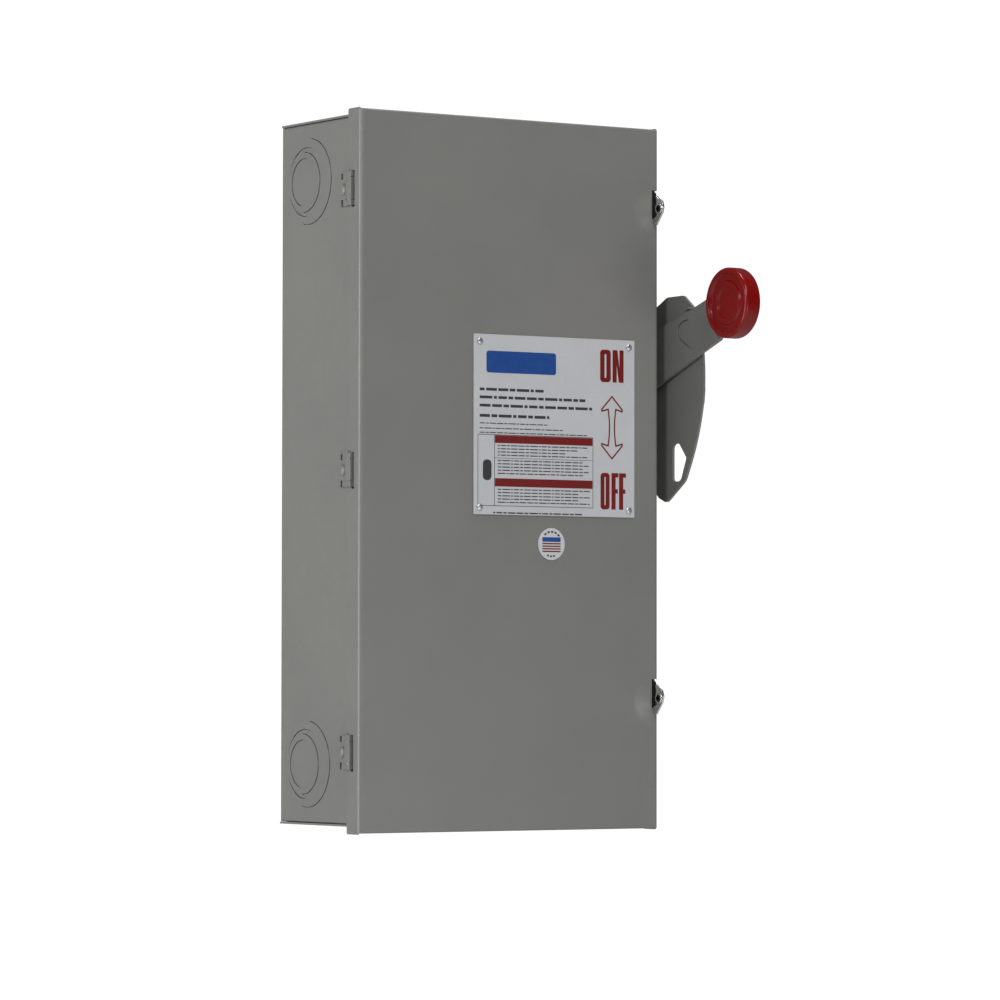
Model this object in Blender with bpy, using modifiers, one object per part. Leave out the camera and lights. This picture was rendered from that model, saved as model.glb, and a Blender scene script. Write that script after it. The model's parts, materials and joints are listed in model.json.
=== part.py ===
"""A side-operated, three-pole safety switch in a sheet-steel box: enclosure, hinged cover, cover latches,
outside handle, and the switch mechanism inside. Metres, +Z up. The origin is at the centre of the back face,
the front looks along -Y, and the handle is on the +X side, in its ON position."""

import math

import bmesh
import bpy
from mathutils import Matrix, Vector

# Driving sizes of the sheet-metal box
COVER_HALF_WIDTH = 0.1302
COVER_HALF_HEIGHT = 0.26035
COVER_DEPTH = 0.0176
COVER_BEND = 0.0025
FRONT = -0.1165
SHEET = 0.0015
GAP = 0.0003
SIDE = 0.1272
BOX_TOP = 0.25765
BOX_BOTTOM = -0.25595
RIM = -0.1133
BOX_BEND = 0.002
LIP = 0.010
RETURN = 0.012
BACK_INSIDE = -SHEET - GAP

# Wall features
MOUNT_HOLE_X = 0.076
MOUNT_HOLE_Z = 0.215
MOUNT_HOLE_RADIUS = 0.004
KNOCKOUT_MIDDLE = 0.0008
KNOCKOUT_REACH = 0.2126
KNOCKOUT_RINGS = ((0.01745, 0.0220, -0.0328, -0.0328), (0.0252, 0.03135, -0.0361, -0.0393))
KNOCKOUT_RAISE = 0.0005

# Hinges
HINGE_HEIGHTS = {"upper": 0.2033, "middle": 0.0004, "lower": -0.2025}
HINGE_X = -0.1304
HINGE_Y = -0.1011
HINGE_WINDOW_HALF = 0.0125
KNUCKLE_RADIUS = 0.0024
KNUCKLE_HOLE = 0.0014
HINGE_PIN_RADIUS = 0.0011
LEAF_HALF = 0.0121
LEAF_KNUCKLE_HALF = 0.008
LEAF_OUTSIDE = -0.1290
LEAF_INSIDE = -0.1275
LEAF_FRONT = -0.0979
LEAF_REAR = -0.0851
LEAF_NOSE = -0.1058
RIVET_Y = -0.0888
RIVET_HOLE = 0.0022
LEAF_SLOT_DEPTHS = (0.0270, 0.0294)
LEAF_SLOT_HEIGHTS = (0.0073, 0.0113)

# Latches
LATCH_HEIGHTS = {"upper": 0.2039, "lower": -0.1603}
LATCH_SLOT_MIDDLES = (0.2039, -0.1620)
LATCH_SLOT_HALF = 0.012
LATCH_X = 0.12625
LATCH_PIVOT_Y = -0.1140
LATCH_PIVOT_UP = 0.0063
LATCH_THICKNESS = 0.0015
EYE_FORWARD = 0.0072
EYE_DOWN = 0.0035
EYE_RADIUS = 0.0026
COLLAR_RADIUS = 0.0042
NOTCH_HALF = 0.0107
NOTCH_X = 0.1244
NOTCH_DEPTH = 0.0050

# Outside handle
PIVOT_Y = -0.0565
PIVOT_Z = 0.0777
ARM_RISE = math.radians(18.8)
ARM_X = 0.1447
ARM_THICKNESS = 0.003
KNOB_REACH = 0.1495
KNOB_X = 0.140
PLATE_X = 0.1482
PLATE_THICKNESS = 0.002
SHAFT_RADIUS = 0.006
SHAFT_HOLE = 0.0063

# Mechanism
POLES = {"left": -0.066, "centre": -0.006, "right": 0.054}
BLADE_Y = -0.044
BLADE_Z = 0.020
CRANK_REACH = 0.0216
BAR_PIN_Y = -0.058
BAR_PIN_Z = 0.055
LEVER_Y = -0.092
LEVER_Z = 0.112

# Nameplate on the cover
PLATE_LEFT = -0.0342
PLATE_RIGHT = 0.1078
PLATE_BOTTOM = -0.0300
PLATE_TOP = 0.1015
PLATE_INSET = 0.0052
PLATE_CORNER = 0.001

TINY = 0.00001
SIDEWAYS = Matrix(((0, 0, 1, 0), (1, 0, 0, 0), (0, 1, 0, 0), (0, 0, 0, 1)))
FACING = Matrix(((1, 0, 0, 0), (0, 0, -1, 0), (0, 1, 0, 0), (0, 0, 0, 1)))
LEVEL = Matrix.Identity(4)


def clear_scene():
    for obj in list(bpy.data.objects):
        bpy.data.objects.remove(obj, do_unlink=True)


def new_collection(name):
    collection = bpy.data.collections.new(name)
    bpy.context.scene.collection.children.link(collection)
    return collection


def material(name, colour, roughness, metallic, alpha=1.0):
    made = bpy.data.materials.new(name)
    made.use_nodes = True
    shader = made.node_tree.nodes["Principled BSDF"]
    shader.inputs["Base Color"].default_value = (*colour, 1.0)
    shader.inputs["Roughness"].default_value = roughness
    shader.inputs["Metallic"].default_value = metallic
    shader.inputs["Alpha"].default_value = alpha
    made.diffuse_color = (*colour, alpha)
    return made


clear_scene()
PARTS = new_collection("safety_switch")
TOOLS = new_collection("cutters")
GREY_PAINT = material("grey_paint", (0.21, 0.21, 0.195), 0.45, 0.0)
PLATING = material("zinc_plating", (0.70, 0.70, 0.68), 0.25, 1.0)
RED_PLASTIC = material("red_plastic", (0.33, 0.005, 0.006), 0.25, 0.0)
LABEL_FILM = material("label_film", (0.48, 0.49, 0.51), 0.35, 0.0)
BLACK_PLASTIC = material("black_moulding", (0.02, 0.02, 0.022), 0.5, 0.0)
COPPER = material("plated_copper", (0.62, 0.50, 0.40), 0.3, 1.0)
ALUMINIUM = material("aluminium", (0.60, 0.61, 0.63), 0.35, 1.0)
SPRING_STEEL = material("spring_steel", (0.30, 0.30, 0.31), 0.3, 1.0)
CLEAR_SHEET = material("clear_sheet", (0.80, 0.85, 0.88), 0.1, 0.0, 0.35)


# Outlines: lists of flat points


def circle(radius, x=0.0, y=0.0, steps=24):
    turns = [2 * math.pi * step / steps for step in range(steps)]
    return [Vector((x + radius * math.cos(a), y + radius * math.sin(a))) for a in turns]


def arc(centre, radius, start, sweep, steps):
    """Points on an arc, with its angles in degrees."""
    angles = [math.radians(start + sweep * step / steps) for step in range(steps + 1)]
    return [Vector((centre[0] + radius * math.cos(a), centre[1] + radius * math.sin(a))) for a in angles]


def rounded(corners, closed=True, steps=4):
    """The outline through corners (x, y, radius), each turned on an arc of its own radius."""
    outline = []
    count = len(corners)
    for index, (x, y, radius) in enumerate(corners):
        corner = Vector((x, y))
        is_end = not closed and index in (0, count - 1)
        if radius == 0 or is_end:
            outline.append(corner)
            continue
        before = (Vector(corners[index - 1][:2]) - corner).normalized()
        after = (Vector(corners[(index + 1) % count][:2]) - corner).normalized()
        half = before.angle(after) / 2
        centre = corner + (before + after).normalized() * radius / math.sin(half)
        first = corner + before * radius / math.tan(half) - centre
        last = corner + after * radius / math.tan(half) - centre
        start = math.degrees(math.atan2(first.y, first.x))
        sweep = math.degrees(math.atan2(last.y, last.x)) - start
        sweep = (sweep + 180) % 360 - 180
        outline += arc(centre, radius, start, sweep, steps)
    return outline


# Shapes: bmesh pieces in world coordinates


def box(low, high, shape=None):
    shape = shape or bmesh.new()
    low, high = Vector(low), Vector(high)
    place = Matrix.Translation((low + high) / 2) @ Matrix.Diagonal((*(high - low), 1.0))
    bmesh.ops.create_cube(shape, size=1.0, matrix=place)
    return shape


def rod(start, end, radius, shape=None, segments=16):
    shape = shape or bmesh.new()
    start, end = Vector(start), Vector(end)
    along = end - start
    turn = Vector((0, 0, 1)).rotation_difference(along).to_matrix().to_4x4()
    place = Matrix.Translation((start + end) / 2) @ turn
    size = {"radius1": radius, "radius2": radius, "depth": along.length}
    bmesh.ops.create_cone(shape, cap_ends=True, segments=segments, matrix=place, **size)
    return shape


def plate(outlines, thickness, plane, offset):
    """A flat plate: the first outline is its edge, the others are holes, and its middle lies at offset."""
    curve = bpy.data.curves.new("outline", "CURVE")
    curve.dimensions = "2D"
    curve.fill_mode = "BOTH"
    curve.extrude = thickness / 2
    for outline in outlines:
        spline = curve.splines.new("POLY")
        spline.points.add(len(outline) - 1)
        for point, place in zip(spline.points, outline):
            point.co = (place[0], place[1], 0.0, 1.0)
        spline.use_cyclic_u = True
    drawn = bpy.data.objects.new("outline", curve)
    TOOLS.objects.link(drawn)
    graph = bpy.context.evaluated_depsgraph_get()
    mesh = bpy.data.meshes.new_from_object(drawn.evaluated_get(graph))
    shape = bmesh.new()
    shape.from_mesh(mesh)
    bmesh.ops.remove_doubles(shape, verts=shape.verts, dist=TINY / 10)
    bmesh.ops.recalc_face_normals(shape, faces=shape.faces)
    shape.transform(Matrix.Translation(offset) @ plane)
    bpy.data.objects.remove(drawn)
    bpy.data.curves.remove(curve)
    bpy.data.meshes.remove(mesh)
    return shape


def turned_about_pivot(shape):
    """Raises a shape that was drawn level, pointing forward, to the arm's angle about the handle's pivot."""
    pivot = Matrix.Translation((0, PIVOT_Y, PIVOT_Z))
    shape.transform(pivot @ Matrix.Rotation(-ARM_RISE, 4, "X") @ pivot.inverted())
    return shape


# Objects


def world_place(empty):
    if empty is None:
        return Vector((0, 0, 0))
    return empty.location + world_place(empty.parent)


def axis_empty(name, place, parent=None):
    empty = bpy.data.objects.new(name, None)
    PARTS.objects.link(empty)
    empty.empty_display_size = 0.02
    empty.parent = parent
    empty.location = Vector(place) - world_place(parent)
    return empty


def add_object(name, shape, collection, parent=None):
    """Makes an object of a shape, with its origin in the middle of it."""
    low = Vector([min(v.co[axis] for v in shape.verts) for axis in range(3)])
    high = Vector([max(v.co[axis] for v in shape.verts) for axis in range(3)])
    middle = (low + high) / 2
    bmesh.ops.translate(shape, verts=shape.verts, vec=-middle)
    mesh = bpy.data.meshes.new(name)
    shape.to_mesh(mesh)
    shape.free()
    obj = bpy.data.objects.new(name, mesh)
    collection.objects.link(obj)
    obj.parent = parent
    obj.location = middle - world_place(parent)
    return obj


def solid(name, shape, paint, parent=None, smooth=False):
    obj = add_object(name, shape, PARTS, parent)
    obj.data.materials.append(paint)
    if smooth:
        obj.data.shade_smooth()
        obj.data.set_sharp_from_angle(angle=math.radians(35))
    return obj


def boolean(target, shape, operation):
    count = sum(modifier.type == "BOOLEAN" for modifier in target.modifiers)
    tool = add_object(f"{target.name}_{operation.lower()}_{count}", shape, TOOLS)
    tool.hide_render = True
    tool.display_type = "WIRE"
    modifier = target.modifiers.new(tool.name, "BOOLEAN")
    modifier.operation = operation
    modifier.object = tool
    modifier.solver = "EXACT"


def cut(target, shape):
    boolean(target, shape, "DIFFERENCE")


def join(target, shape):
    boolean(target, shape, "UNION")


def thicken(obj, thickness):
    """Gives an open sheet its thickness, on the inner side."""
    modifier = obj.modifiers.new("sheet", "SOLIDIFY")
    modifier.thickness = thickness
    modifier.offset = -1.0
    modifier.use_even_offset = True


def turned(name, profile, place, direction, paint, parent=None, steps=24):
    """A turned piece: profile (radius, height) runs down its outer side, and height is along direction."""
    mesh = bpy.data.meshes.new(name)
    points = [(radius, 0.0, height) for radius, height in profile]
    is_ring = profile[0] == profile[-1]
    if is_ring:
        points.pop()
    count = len(points)
    links = [(index, (index + 1) % count) for index in range(count if is_ring else count - 1)]
    mesh.from_pydata(points, links, [])
    mesh.materials.append(paint)
    obj = bpy.data.objects.new(name, mesh)
    PARTS.objects.link(obj)
    obj.parent = parent
    obj.location = Vector(place) - world_place(parent)
    obj.rotation_euler = Vector((0, 0, 1)).rotation_difference(Vector(direction)).to_euler()
    screw = obj.modifiers.new("turned", "SCREW")
    screw.axis = "Z"
    screw.angle = 2 * math.pi
    screw.steps = steps
    screw.render_steps = steps
    screw.use_merge_vertices = True
    screw.merge_threshold = TINY
    screw.use_smooth_shade = False
    return obj


def ring_profile(inner, outer, bottom, top):
    return [(inner, top), (outer, top), (outer, bottom), (inner, bottom), (inner, top)]


# Sheet metal: open sheets folded row by row


def sheet_from_path(path, levels):
    """Carries a flat path of (x, y) points up through the levels."""
    shape = bmesh.new()
    row = [shape.verts.new((x, y, levels[0])) for x, y in path]
    edges = [shape.edges.new(pair) for pair in zip(row, row[1:])]
    for below, above in zip(levels, levels[1:]):
        edges = fold(shape, edges, [(0, 0, above - below)])
    return shape


def fold(shape, edges, steps):
    """Carries free edges through the steps, and gives back the last row of edges."""
    for step in steps:
        made = bmesh.ops.extrude_edge_only(shape, edges=edges)["geom"]
        verts = {item for item in made if isinstance(item, bmesh.types.BMVert)}
        bmesh.ops.translate(shape, verts=list(verts), vec=step)
        edges = [item for item in made if isinstance(item, bmesh.types.BMEdge) and set(item.verts) <= verts]
    return edges


def bend_steps(into, along, radius, flat, count=3):
    """Steps that turn a sheet from direction along to direction into on a radius, then carry it on flat."""
    into, along = Vector(into), Vector(along)
    angles = [math.pi / 2 * step / count for step in range(count + 1)]
    places = [into * radius * (1 - math.cos(a)) + along * radius * math.sin(a) for a in angles]
    steps = [after - before for before, after in zip(places, places[1:])]
    return steps + [into * (flat - radius)]


def free_edges(shape, height, inside):
    return [
        edge
        for edge in shape.edges
        if all(abs(vert.co.z - height) < TINY and inside(vert.co) for vert in edge.verts)
    ]


def spans(edge, low, high):
    """Whether an edge's ends both lie between low and high along Y."""
    return all(low - TINY < vert.co.y < high + TINY for vert in edge.verts)


def knockout_rings(target, centre, plane, concentric=False):
    """Raises alternate rings, half sheared from the wall. The others lie flush between them."""
    for inner, outer, inner_y, outer_y in KNOCKOUT_RINGS:
        shift = 0.0 if concentric else inner_y - outer_y
        outlines = [circle(outer, steps=20), circle(inner, x=shift, steps=20)]
        start = centre if concentric else centre + Vector((0, outer_y, 0))
        join(target, plate(outlines, 2 * KNOCKOUT_RAISE, plane, start))


# The enclosure


def enclosure_body():
    relief_front = RIM + 0.0045
    relief_back = -0.004
    left = [(-SIDE + LIP, RIM, 0), (-SIDE, RIM, BOX_BEND), (-SIDE, relief_front, 0)]
    left += [(-SIDE, relief_back, 0), (-SIDE, 0.0, BOX_BEND)]
    right = [(-x, y, radius) for x, y, radius in reversed(left)]
    path = rounded(left + right, closed=False, steps=3)
    bottom = BOX_BOTTOM + SHEET + GAP + BOX_BEND
    top = BOX_TOP - SHEET - GAP - BOX_BEND
    shape = sheet_from_path(path, [bottom, top])
    for height, up in ((bottom, -1), (top, 1)):
        for side in (-1, 1):
            wall = free_edges(shape, height, lambda co: abs(co.x - side * SIDE) < TINY)
            between = [edge for edge in wall if spans(edge, relief_front, relief_back)]
            fold(shape, between, bend_steps((-side, 0, 0), (0, 0, up), BOX_BEND, RETURN))
        back = free_edges(shape, height, lambda co: abs(co.y) < TINY)
        fold(shape, back, [(0, 0, up * BOX_BEND)])
    bmesh.ops.recalc_face_normals(shape, faces=shape.faces)
    body = solid("enclosure_body", shape, GREY_PAINT)
    thicken(body, SHEET)
    for side in (-1, 1):
        for end in (-1, 1):
            centre = Vector((side * SIDE, 0, KNOCKOUT_MIDDLE + end * KNOCKOUT_REACH))
            knockout_rings(body, centre, SIDEWAYS)
    holes = bmesh.new()
    for x in (-MOUNT_HOLE_X, MOUNT_HOLE_X):
        for z in (-MOUNT_HOLE_Z, MOUNT_HOLE_Z):
            rod((x, -0.01, z), (x, 0.01, z), MOUNT_HOLE_RADIUS, holes)
    for z in HINGE_HEIGHTS.values():
        hinge_holes(holes, z)
        rod((-0.130, FRONT + 0.0361, z + 0.001), (-0.120, FRONT + 0.0361, z + 0.001), 0.0017, holes, 12)
    for z in LATCH_SLOT_MIDDLES:
        box((0.115, RIM - 0.002, z - LATCH_SLOT_HALF), (0.1300, FRONT + 0.024, z + LATCH_SLOT_HALF), holes)
    rod((0.120, PIVOT_Y, PIVOT_Z), (0.130, PIVOT_Y, PIVOT_Z), 0.0083, holes, 20)
    for y, z in base_screw_places():
        rod((0.120, y, z), (0.130, y, z), 0.0025, holes, 12)
    cut(body, holes)


def hinge_holes(holes, z):
    """The rivet hole and the two short slots that a leaf and the wall behind it share."""
    rod((-0.132, RIVET_Y, z), (-0.120, RIVET_Y, z), RIVET_HOLE, holes, 12)
    front, rear = (FRONT + depth for depth in LEAF_SLOT_DEPTHS)
    for side in (-1, 1):
        low, high = sorted(z + side * height for height in LEAF_SLOT_HEIGHTS)
        box((-0.132, front, low), (-0.120, rear, high), holes)


def end_wall(name, height, up):
    """An end panel over the side walls' returns, bent down at the front between the side lips."""
    inner_edge = SIDE - LIP - 0.0005
    columns = [-SIDE, -inner_edge, inner_edge, SIDE]
    shape = bmesh.new()
    row = [shape.verts.new((x, 0.0, height)) for x in columns]
    edges = [shape.edges.new(pair) for pair in zip(row, row[1:])]
    edges = fold(shape, edges, [(0, RIM + BOX_BEND, 0)])
    middle = [edge for edge in edges if all(abs(vert.co.x) < inner_edge + TINY for vert in edge.verts)]
    outer = [edge for edge in edges if edge not in middle]
    fold(shape, middle, bend_steps((0, 0, -up), (0, -1, 0), BOX_BEND, 0.014))
    fold(shape, outer, [(0, -BOX_BEND, 0)])
    bmesh.ops.recalc_face_normals(shape, faces=shape.faces)
    for face in shape.faces:
        is_panel = abs(face.normal.z) > 0.99
        if is_panel and face.normal.z * up < 0:
            bmesh.ops.reverse_faces(shape, faces=shape.faces)
            break
    wall = solid(name, shape, GREY_PAINT)
    thicken(wall, SHEET)
    knockout_rings(wall, Vector((0, -0.052, height)), LEVEL, concentric=True)


def cover(axis):
    """The front pan with its bent edges, the hinge knuckles, the latch notches and the latch brackets."""
    rear = FRONT + COVER_DEPTH
    corner = Vector((COVER_HALF_WIDTH, 0, COVER_HALF_HEIGHT))
    shape = box(Vector((0, FRONT, 0)) - corner, Vector((0, rear, 0)) + corner)
    open_back = [face for face in shape.faces if face.normal.y > 0.9]
    bmesh.ops.delete(shape, geom=open_back, context="FACES_ONLY")
    pan = solid("cover", shape, GREY_PAINT, axis)
    bevel = pan.modifiers.new("bends", "BEVEL")
    bevel.width = COVER_BEND
    bevel.segments = 3
    bevel.limit_method = "ANGLE"
    thicken(pan, SHEET)
    cut(pan, cover_openings(rear))
    for z in HINGE_HEIGHTS.values():
        for side in (-1, 1):
            join(pan, cover_knuckle(z, side))
    for z in LATCH_HEIGHTS.values():
        inner_face = FRONT + SHEET / 2
        join(pan, box((0.1222, inner_face, z - 0.009), (0.1240, FRONT + 0.012, z + 0.0095)))
    holes = bmesh.new()
    for z in HINGE_HEIGHTS.values():
        rod((HINGE_X, HINGE_Y, z - 0.0135), (HINGE_X, HINGE_Y, z + 0.0135), KNUCKLE_HOLE, holes)
    for z in LATCH_HEIGHTS.values():
        pin_z = z + LATCH_PIVOT_UP
        rod((0.1200, LATCH_PIVOT_Y, pin_z), (0.1300, LATCH_PIVOT_Y, pin_z), 0.0015, holes, 12)
    for x, z in nameplate_corners():
        rod((x, FRONT - 0.005, z), (x, FRONT + 0.005, z), 0.0016, holes, 12)
    cut(pan, holes)


def cover_openings(rear):
    """The three hinge windows in the left edge and the two latch notches at the right edge."""
    openings = bmesh.new()
    for z in HINGE_HEIGHTS.values():
        low = (-0.135, FRONT + 0.0088, z - HINGE_WINDOW_HALF)
        box(low, (-0.120, rear + 0.005, z + HINGE_WINDOW_HALF), openings)
    for z in LATCH_HEIGHTS.values():
        high = (0.140, FRONT + NOTCH_DEPTH, z + NOTCH_HALF)
        box((NOTCH_X, FRONT - 0.005, z - NOTCH_HALF), high, openings)
    return openings


def cover_knuckle(z, side):
    """A knuckle with its strap, at one end of a hinge window, as one outline seen from above."""
    inner = LEAF_KNUCKLE_HALF + GAP
    outer = HINGE_WINDOW_HALF + 0.0005
    strap_outside = -0.1300
    strap_inside = -0.1288
    around = arc((HINGE_X, HINGE_Y), KNUCKLE_RADIUS, -49, 308, 14)
    outline = [Vector((strap_outside, FRONT + 0.0082)), Vector((strap_inside, FRONT + 0.0082))] + around
    middle = z + side * (inner + outer) / 2
    return plate([outline], outer - inner, LEVEL, (0, 0, middle))


def nameplate_corners():
    xs = (PLATE_LEFT + PLATE_INSET, PLATE_RIGHT - PLATE_INSET)
    zs = (PLATE_BOTTOM + PLATE_INSET, PLATE_TOP - PLATE_INSET)
    return [(x, z) for x in xs for z in zs]


def nameplate(axis):
    corners = [(PLATE_LEFT, PLATE_BOTTOM), (PLATE_RIGHT, PLATE_BOTTOM)]
    corners += [(PLATE_RIGHT, PLATE_TOP), (PLATE_LEFT, PLATE_TOP)]
    outline = rounded([(x, z, PLATE_CORNER) for x, z in corners])
    holes = [circle(0.0016, x, z, 12) for x, z in nameplate_corners()]
    thickness = 0.0006
    middle = (0, FRONT - GAP - thickness / 2, 0)
    solid("nameplate", plate([outline] + holes, thickness, FACING, middle), LABEL_FILM, axis)
    head = FRONT - 2 * GAP - thickness
    dome = [(0, 0.0009), (0.0012, 0.0008), (0.0021, 0.0004), (0.0025, 0.0)]
    profile = dome + [(0.0013, 0.0), (0.0013, -0.004), (0, -0.004)]
    for number, (x, z) in enumerate(nameplate_corners(), 1):
        turned(f"nameplate_rivet_{number}", profile, (x, head, z), (0, -1, 0), ALUMINIUM, axis, 12)


def cover_sticker(axis):
    outline = circle(0.01175, 0.0341, -0.0507, 32)
    thickness = 0.0003
    shape = plate([outline], thickness, FACING, (0, FRONT - GAP - thickness / 2, 0))
    solid("cover_sticker", shape, LABEL_FILM, axis)


def hinges():
    for name, z in HINGE_HEIGHTS.items():
        low, high = LEAF_REAR, LEAF_FRONT
        knuckle = LEAF_KNUCKLE_HALF
        corners = [(low, -LEAF_HALF, 0.001), (high, -LEAF_HALF, 0.001)]
        corners += [(high, -knuckle, 0), (LEAF_NOSE, -knuckle, 0)]
        corners += [(y, -height, radius) for y, height, radius in reversed(corners)]
        outline = [Vector((y, z + height)) for y, height in rounded(corners, steps=2)]
        middle = (LEAF_OUTSIDE + LEAF_INSIDE) / 2
        shape = plate([outline], LEAF_INSIDE - LEAF_OUTSIDE, SIDEWAYS, (middle, 0, 0))
        leaf = solid(f"hinge_leaf_{name}", shape, GREY_PAINT)
        axis_low, axis_high = (HINGE_X, HINGE_Y, z - knuckle), (HINGE_X, HINGE_Y, z + knuckle)
        join(leaf, rod(axis_low, axis_high, KNUCKLE_RADIUS))
        holes = rod((HINGE_X, HINGE_Y, z - 0.0135), (HINGE_X, HINGE_Y, z + 0.0135), KNUCKLE_HOLE)
        hinge_holes(holes, z)
        cut(leaf, holes)
        half, edge = 0.0122, 0.0003
        radius = HINGE_PIN_RADIUS
        ends = [(0, half), (radius - edge, half), (radius, half - edge)]
        pin = ends + [(r, -height) for r, height in reversed(ends)]
        turned(f"hinge_pin_{name}", pin, (HINGE_X, HINGE_Y, z), (0, 0, 1), PLATING, None, 12)
        hinge_rivet(name, z)


def hinge_rivet(name, z):
    """A dome head outside the leaf, a shank through leaf and wall, and an upset tail inside."""
    dome = [(0.0044 * math.sin(a), 0.0016 * math.cos(a)) for a in (0.0, 0.45, 0.9, 1.3, math.pi / 2)]
    tail_top = SIDE - SHEET - GAP + LEAF_OUTSIDE - GAP
    tail_end = tail_top - 0.001
    shank = [(0.0019, 0.0), (0.0019, tail_top), (0.0034, tail_top), (0.0030, tail_end), (0, tail_end)]
    seat = (LEAF_OUTSIDE - GAP, RIVET_Y, z)
    turned(f"hinge_rivet_{name}", dome + shank, seat, (-1, 0, 0), GREY_PAINT, None, 16)


# Latches


def latch(name, z, cover_axis):
    """A flat lever through the cover's notch, with a finger hole in a raised collar and a hook behind."""
    pivot_z = z + LATCH_PIVOT_UP
    axis = axis_empty(f"latch_{name}_axis", (LATCH_X, LATCH_PIVOT_Y, pivot_z), cover_axis)
    outside = [(1.5, 8.9, 1.0), (6.6, 4.3, 1.5), (11.2, 2.3, 2.0), (12.8, -2.4, 3.0)]
    outside += [(11.6, -6.6, 3.0), (4.2, -16.0, 1.2)]
    inside = [(0.5, -15.2, 0.8), (0.5, -10.0, 0), (-4.0, -1.0, 1.0), (-8.0, 2.5, 1.0)]
    hook = [(-17.0, 3.0, 1.0), (-15.0, 8.0, 1.5), (-4.0, 9.5, 1.5)]
    corners = outside + inside + hook
    outline = rounded([(FRONT - fwd / 1000, z + up / 1000, r / 1000) for fwd, up, r in corners], steps=3)
    eye = (FRONT - EYE_FORWARD, z - EYE_DOWN)
    holes = [circle(EYE_RADIUS, *eye, 16), circle(0.0015, LATCH_PIVOT_Y, pivot_z, 12)]
    shape = plate([outline] + holes, LATCH_THICKNESS, SIDEWAYS, (LATCH_X, 0, 0))
    lever = solid(f"latch_{name}", shape, PLATING, axis)
    collar = [circle(COLLAR_RADIUS, *eye, 20), circle(EYE_RADIUS, *eye, 16)]
    join(lever, plate(collar, 0.0016, SIDEWAYS, (LATCH_X - 0.00125, 0, 0)))
    start, end = (0.1220, LATCH_PIVOT_Y, pivot_z), (0.1284, LATCH_PIVOT_Y, pivot_z)
    solid(f"latch_pin_{name}", rod(start, end, 0.0012, segments=12), PLATING, cover_axis)


# Outside handle


def base_screw_places():
    return [(-0.0120, PIVOT_Z + 0.0150), (-0.0120, PIVOT_Z - 0.0250)]


def from_pivot(points):
    """Turns (forward, up, radius) in millimetres from the pivot into (y, z, radius) in metres."""
    return [(PIVOT_Y - forward / 1000, PIVOT_Z + up / 1000, radius / 1000) for forward, up, radius in points]


def handle_base():
    """The quadrant plate outside the arm, with its padlock hole, its stops and the foot on the side wall."""
    back = [(-35.0, -37.6, 4), (-35.0, 27.4, 4), (36.8, 53.7, 8)]
    top = [(46.9, 58.6, 3), (68.0, 58.8, 6), (81.4, 48.9, 2)]
    front = [(91.0, 26.0, 80), (95.3, 0.0, 160), (92.0, -27.0, 160), (83.0, -55.0, 160), (70.0, -79.6, 12)]
    tail = [(46.0, -95.5, 6), (36.1, -91.5, 5)]
    outline = rounded(from_pivot(back + top + front + tail), steps=4)
    padlock = [(54.0, -79.8, 3), (54.0, -51.6, 4.5), (62.4, -51.4, 3), (72.0, -62.5, 2.5), (64.5, -79.8, 5)]
    holes = [rounded(from_pivot(padlock), steps=4), circle(SHAFT_HOLE, PIVOT_Y, PIVOT_Z, 20)]
    shape = plate([outline] + holes, PLATE_THICKNESS, SIDEWAYS, (PLATE_X, 0, 0))
    base = solid("handle_base", shape, GREY_PAINT)
    foot_inside = SIDE + GAP
    foot_outside = foot_inside + PLATE_THICKNESS
    web_front = PIVOT_Y + 0.034
    web_back = PIVOT_Y + 0.036
    low, high = PIVOT_Z - 0.0370, PIVOT_Z + 0.0260
    join(base, box((foot_inside, web_front, low), (PLATE_X, web_back, high)))
    join(base, box((foot_inside, web_front + 0.0005, low), (foot_outside, -0.0045, high)))
    stop_face = 0.1440
    on_low, on_high = (-0.0795, 0.0478), (-0.0745, 0.0495)
    off_low, off_high = (-0.005, -0.062), (0.0, -0.058)
    for low, high in ((on_low, on_high), (off_low, off_high)):
        start = (stop_face, PIVOT_Y + low[0], PIVOT_Z + low[1])
        join(base, box(start, (PLATE_X, PIVOT_Y + high[0], PIVOT_Z + high[1])))
    holes = bmesh.new()
    for y, z in base_screw_places():
        rod((0.126, y, z), (0.131, y, z), 0.0025, holes, 12)
    cut(base, holes)
    head = [(0, 0.0022), (0.0030, 0.0020), (0.0042, 0.0010), (0.0042, 0.0)]
    profile = head + [(0.0022, 0.0), (0.0022, -0.0052), (0, -0.0052)]
    for number, (y, z) in enumerate(base_screw_places(), 1):
        seat = (foot_outside + GAP, y, z)
        turned(f"handle_base_screw_{number}", profile, seat, (1, 0, 0), PLATING, None, 16)


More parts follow.
